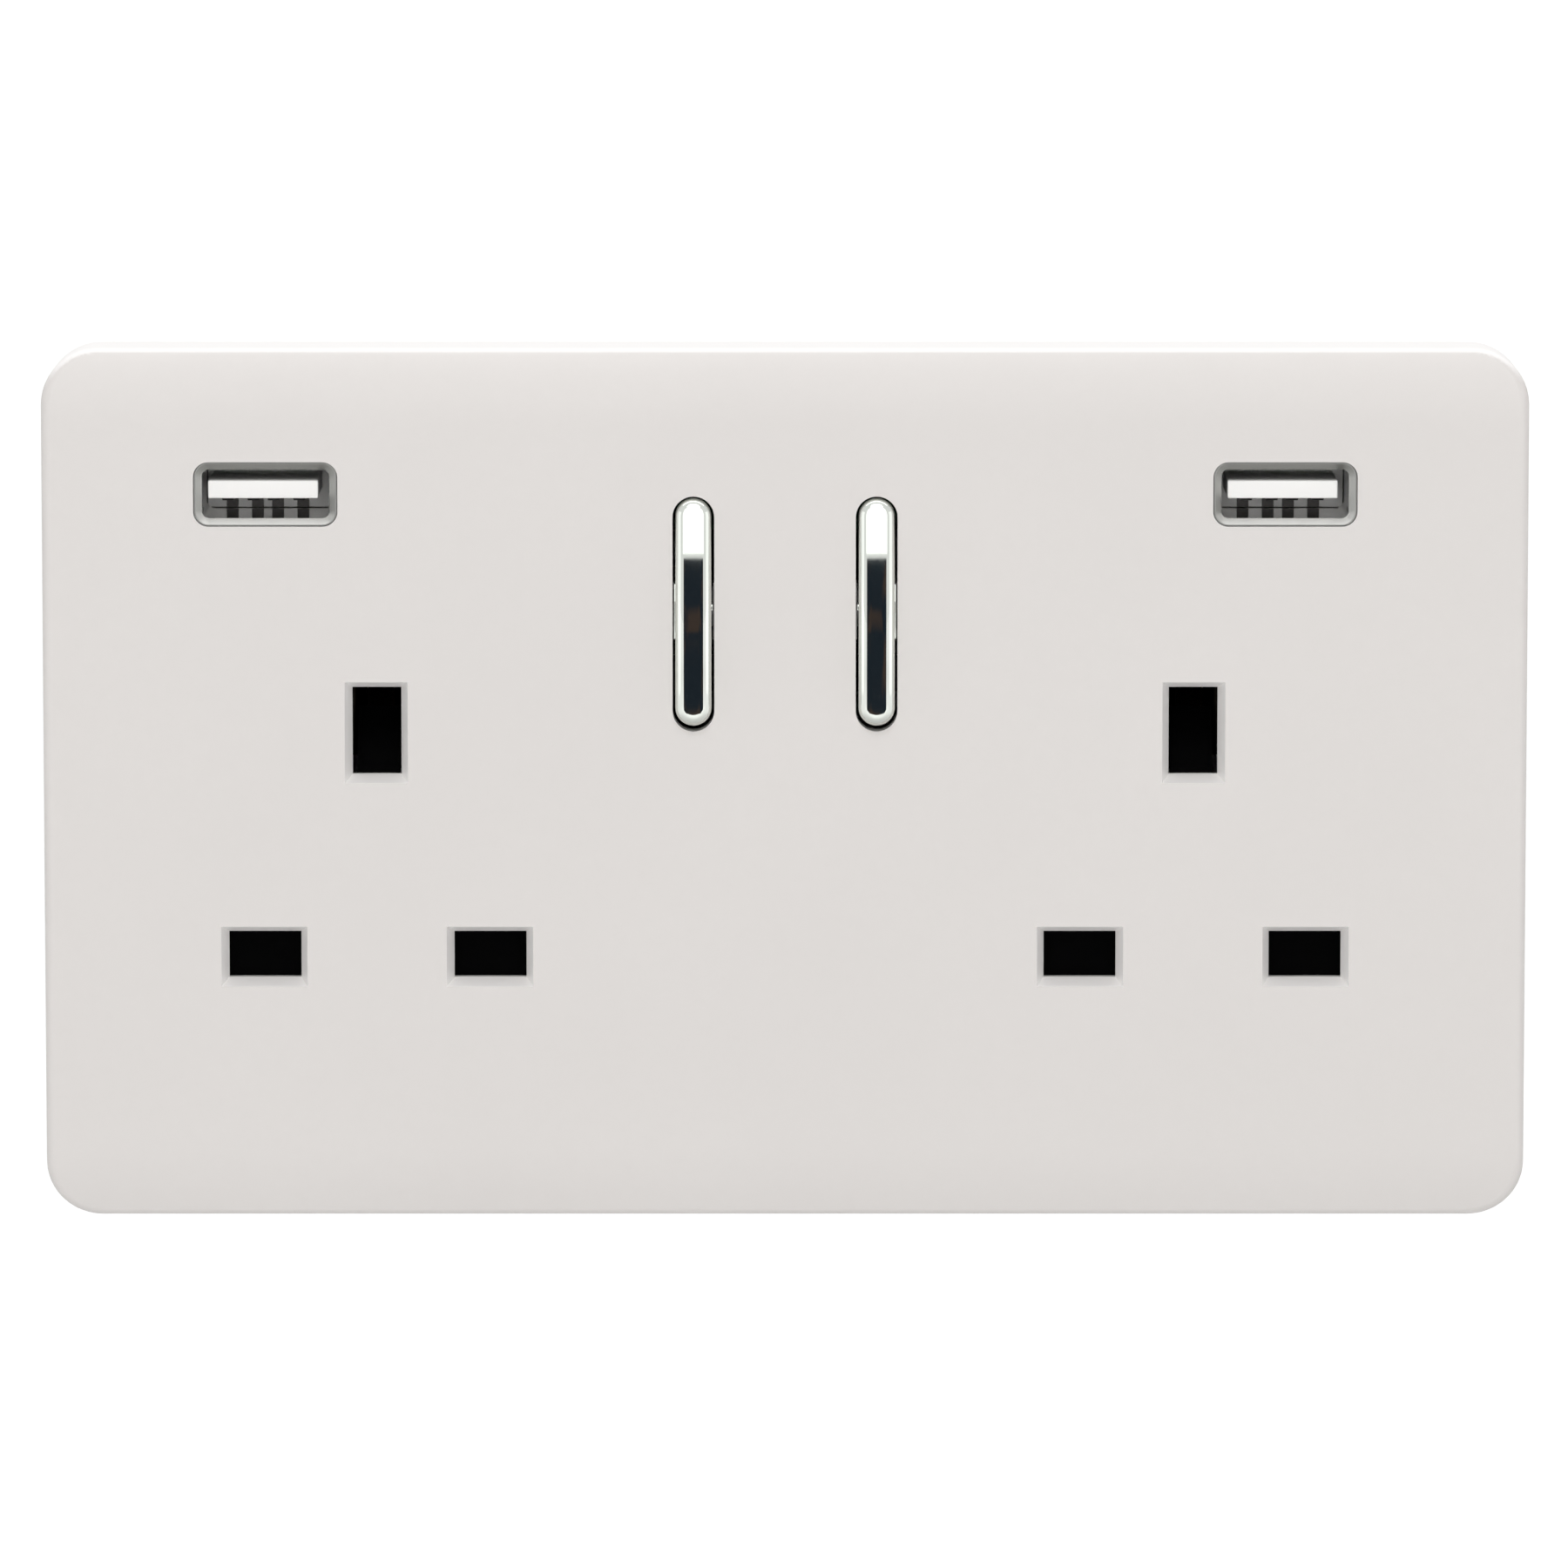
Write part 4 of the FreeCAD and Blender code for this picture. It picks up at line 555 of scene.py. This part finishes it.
def stadium(inset):
    """Points round the slot-shaped outline of a cap, drawn in by inset."""
    radius = CAP_HALF_WIDTH - inset
    middle = CAP_HALF_LENGTH - CAP_HALF_WIDTH
    corners = [math.pi * step / CAP_END_STEPS for step in range(CAP_END_STEPS)]
    upper = [(radius * math.cos(turn), middle + radius * math.sin(turn)) for turn in corners]
    left = [(-radius, middle - 2 * middle * step / CAP_SIDE_STEPS)
            for step in range(CAP_SIDE_STEPS)]
    half_round = upper + left
    return half_round + [(-x, -z) for x, z in half_round]


def bowed_loop(inset, drop):
    """A loop on the cap's bowed front, drawn in and set back from it."""
    return [(x, CAP_CROWN + CAP_BOW - math.sqrt(CAP_BOW ** 2 - z ** 2) + drop, z)
            for x, z in stadium(inset)]


def cap_loops():
    """Loops from the root up over the rounded brow to the bowed front, where they close up."""
    loops = [[(x, CAP_ROOT, z) for x, z in stadium(0.0)]]
    for step in range(CAP_ROUND_STEPS + 1):
        turn = math.pi / 2 * step / CAP_ROUND_STEPS
        loops.append(bowed_loop(CAP_ROUND * (1 - math.cos(turn)), CAP_ROUND * (1 - math.sin(turn))))
    loops.append(bowed_loop((CAP_ROUND + CAP_HALF_WIDTH) / 2, 0.0))
    loops.append(bowed_loop(CAP_HALF_WIDTH, 0.0))
    return loops


def rocker_place(sign):
    """From the rocker's own axes to the frame, in metres."""
    x, y, z = ROCKER_PIVOT
    return Matrix.Translation(Vector((sign * x, y, z)) * MM) @ Matrix.Rotation(ROCKER_TILT, 4, "X")


def chrome_cap(side, sign, coats):
    """The plated finger piece: a bowed front with rounded brows, and stop ears on its flanks."""
    made = bmesh.new()
    skin(made, cap_loops(), closed_front=False)
    bmesh.ops.remove_doubles(made, verts=made.verts, dist=SAME_POINT)
    for low, high in (OUTER_EAR, INNER_EAR):
        near, far = sorted((sign * low[0], sign * high[0]))
        block(made, (near, *low[1:]), (far, *high[1:]), EAR_SOFTNESS)
    made.transform(rocker_place(sign))
    mesh_piece(f"chrome_cap_{side}", made, coats, "lever_chrome", f"rocker_{side}",
               f"rocker_cap_{side}")


def port_insides(side, coats):
    """The white tongue on its block, and the four contacts under it that run down the block."""
    x, z = PORTS[side]
    middle = x + TONGUE_SHIFT
    under = z + TONGUE_UNDERSIDE
    made = bmesh.new()
    block(made, (x - BLOCK_HALF_WIDTH, BLOCK_FRONT, z - BLOCK_HALF_HEIGHT),
          (x + BLOCK_HALF_WIDTH, BLOCK_BACK, z + BLOCK_HALF_HEIGHT), BLOCK_SOFTNESS)
    block(made, (middle - TONGUE_HALF_WIDTH, TONGUE_FRONT, under),
          (middle + TONGUE_HALF_WIDTH, BLOCK_FRONT + TONGUE_INTO_BLOCK, z + TONGUE_TOP),
          TONGUE_SOFTNESS)
    mesh_piece(f"port_tongue_{side}", made, coats, "port_insulator", "root",
               f"usb_insulator_{side}")

    made = bmesh.new()
    foot = z + STRIP_FOOT
    profile = [(back, under - down) for back, down in STRIP_BOW]
    profile += [(profile[-1][0], foot), (BLOCK_FRONT, foot), (BLOCK_FRONT, under)]
    for offset in STRIPS:
        flanks = (middle + offset - STRIP_HALF_WIDTH, middle + offset + STRIP_HALF_WIDTH)
        skin(made, [[(flank, *point) for point in profile] for flank in flanks])
    mesh_piece(f"port_contact_strips_{side}", made, coats, "port_contact", "root",
               f"usb_contacts_{side}")


def coil(start, end, radius, wire, turns):
    """Loops round the wire of a compression spring, with its end turns laid close."""
    axis = (end - start).normalized()
    across = axis.orthogonal().normalized()
    other = axis.cross(across)
    climb = (end - start).length - 2 * wire
    closed = CLOSED_PITCH * wire * CLOSED_TURN
    loops = []
    for step in range(turns * TURN_STEPS + 1):
        turned = step / TURN_STEPS
        if turned < CLOSED_TURN:
            rise = closed * turned / CLOSED_TURN
        elif turned > turns - CLOSED_TURN:
            rise = climb - closed * (turns - turned) / CLOSED_TURN
        else:
            open_share = (turned - CLOSED_TURN) / (turns - 2 * CLOSED_TURN)
            rise = closed + (climb - 2 * closed) * open_share
        out = on_circle(across, other, turned)
        centre = start + axis * (wire + rise) + out * radius
        loops.append([centre + on_circle(out, axis, side / WIRE_SIDES) * wire
                      for side in range(WIRE_SIDES)])
    return loops


def spring(name, stands_for, ends, shape, place, coats, body):
    """A spring between two ends on a body."""
    start, end = (Vector(point) for point in ends)
    made = bmesh.new()
    skin(made, coil(start, end, **shape))
    made.transform(place)
    piece = mesh_piece(name, made, coats, "spring_steel", body, stands_for)
    run = end - start
    place.to_3x3() @ run.normalized()
    place @ (start * MM)
    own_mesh(piece)


def springs(side, sign, coats):
    """The shutter's return spring, and the one that presses the rocker's plunger out."""
    x, y = SHUTTER_SPRING_PLACE
    bottom, top = SHUTTER_SPRING_ENDS
    spring(f"shutter_return_spring_{side}", f"shutter_spring_{side}",
           ((sign * x, y, bottom), (sign * x, y, top)), SHUTTER_SPRING, Matrix.Identity(4), coats,
           "root")
    near, far = PLUNGER_SPRING_ENDS
    spring(f"plunger_push_spring_{side}", f"plunger_spring_{side}",
           ((0, near, 0), (0, far, 0)), PLUNGER_SPRING, rocker_place(sign), coats,
           f"rocker_{side}")


def around(azimuth, elevation, distance):
    """A place seen from the aim: degrees right of straight ahead, degrees up, metres away."""
    turn, rise = math.radians(azimuth), math.radians(elevation)
    level = math.cos(rise)
    out = Vector((math.sin(turn) * level, -math.cos(turn) * level, math.sin(rise)))
    return AIM + out * distance


def point_at(thing, place, target, axis):
    """Puts an object at a place, with one of its own axes towards a target."""
    thing.location = place
    thing.rotation_mode = "QUATERNION"
    thing.rotation_quaternion = (Vector(target) - Vector(place)).to_track_quat(axis, "Y")


def card(name, width, height, place, target, finish):
    """A flat studio card or floor that faces a point."""
    made = bmesh.new()
    bmesh.ops.create_grid(made, x_segments=1, y_segments=1, size=0.5)
    thing = put_mesh(name, made, finish)
    thing.scale = (width, height, 1.0)
    point_at(thing, place, target, "Z")
    return thing


def white_world():
    """An even studio: white where it is looked at, a plain level where it lights."""
    world = bpy.data.worlds.new("studio")
    bpy.context.scene.world = world
    air = Nodes(world)
    background = air.tree.nodes["Background"]
    air.feed(background.inputs["Color"], WHITE)
    air.feed(background.inputs["Strength"], AMBIENT + air.seen() * (1.0 - AMBIENT))


def floor():
    """A pale floor that runs out to white: it keeps the shadow, and shows white beyond it."""
    finish = Finish("pale_floor", Roughness=0.7, Specular_IOR_Level=0.2, Emission_Color=WHITE)
    cloud = finish.patches(300.0, detail=2.0)
    spot = finish.node("ShaderNodeNewGeometry", {}, {}, output="Position")
    away = finish.node("ShaderNodeVectorMath", {"operation": "LENGTH"}, {0: spot}, output="Value")
    glow = away.smoothed(*NEAR_FADE) * NEAR_GLOW + away.smoothed(*FAR_FADE) * FAR_GLOW
    finish.set(Base_Color=finish.blend(cloud, (0.80, 0.80, 0.80), (0.83, 0.83, 0.83)),
               Emission_Strength=finish.seen() * glow)
    card("floor", 2 * FLOOR_REACH, 2 * FLOOR_REACH, (0.0, 0.0, FLOOR_LEVEL), (0.0, 0.0, 1.0),
         finish)


def softbox(name, width, height, place, watts, mirrored):
    """An area lamp that faces the object."""
    lamp = bpy.data.lights.new(name, "AREA")
    lamp.shape = "RECTANGLE"
    lamp.size = width
    lamp.size_y = height
    lamp.energy = watts
    thing = put(name, lamp)
    point_at(thing, place, AIM, "-Z")
    thing.visible_glossy = mirrored


def flag(name, width, height, place):
    """A dark card that the chrome mirrors; it glows faintly, bluish with warm streaks, which the
    chrome shows as a painted reflection.
    """
    finish = Finish(name, Roughness=0.9, Specular_IOR_Level=0.1, Emission_Strength=1.0,
                    Base_Color=(0.004, 0.005, 0.006))
    # Painted reflection: the card glows, though it is no lamp, to put warm streaks in the chrome.
    warm_glow_streaks = finish.patches(200.0, detail=3.0, where=finish.drawn_out(y=0.4))
    finish.set(Emission_Color=finish.blend(warm_glow_streaks.smoothed(0.50, 0.64), (0.010, 0.016, 0.024),
                                           (0.055, 0.036, 0.028)))
    thing = card(name, width, height, place, AIM, finish)
    thing.visible_diffuse = thing.visible_camera = False


def camera():
    lens = bpy.data.cameras.new("camera")
    lens.sensor_width = SENSOR_WIDTH
    lens.lens = SENSOR_WIDTH * CAMERA_DISTANCE / VIEW_WIDTH
    lens.clip_start = CAMERA_NEAR
    thing = put("camera", lens)
    point_at(thing, around(0.0, CAMERA_RISE, CAMERA_DISTANCE), AIM, "-Z")
    bpy.context.scene.camera = thing


def studio():
    """White surroundings, the lamps, and the dark cards that the chrome mirrors."""
    bpy.context.scene.view_settings.view_transform = "Standard"
    white_world()
    floor()
    for name, width, height, place, watts, mirrored in LAMPS:
        softbox(name, width, height, around(*place), watts, mirrored)
    for name, width, height, place in FLAGS:
        flag(name, width, height, around(*place))


def main():
    camera()
    coats = finishes()
    dress(coats)
    for side, sign in SIDES.items():
        chrome_cap(side, sign, coats)
        port_insides(side, coats)
        springs(side, sign, coats)
    studio()
    bpy.context.view_layer.update()


main()
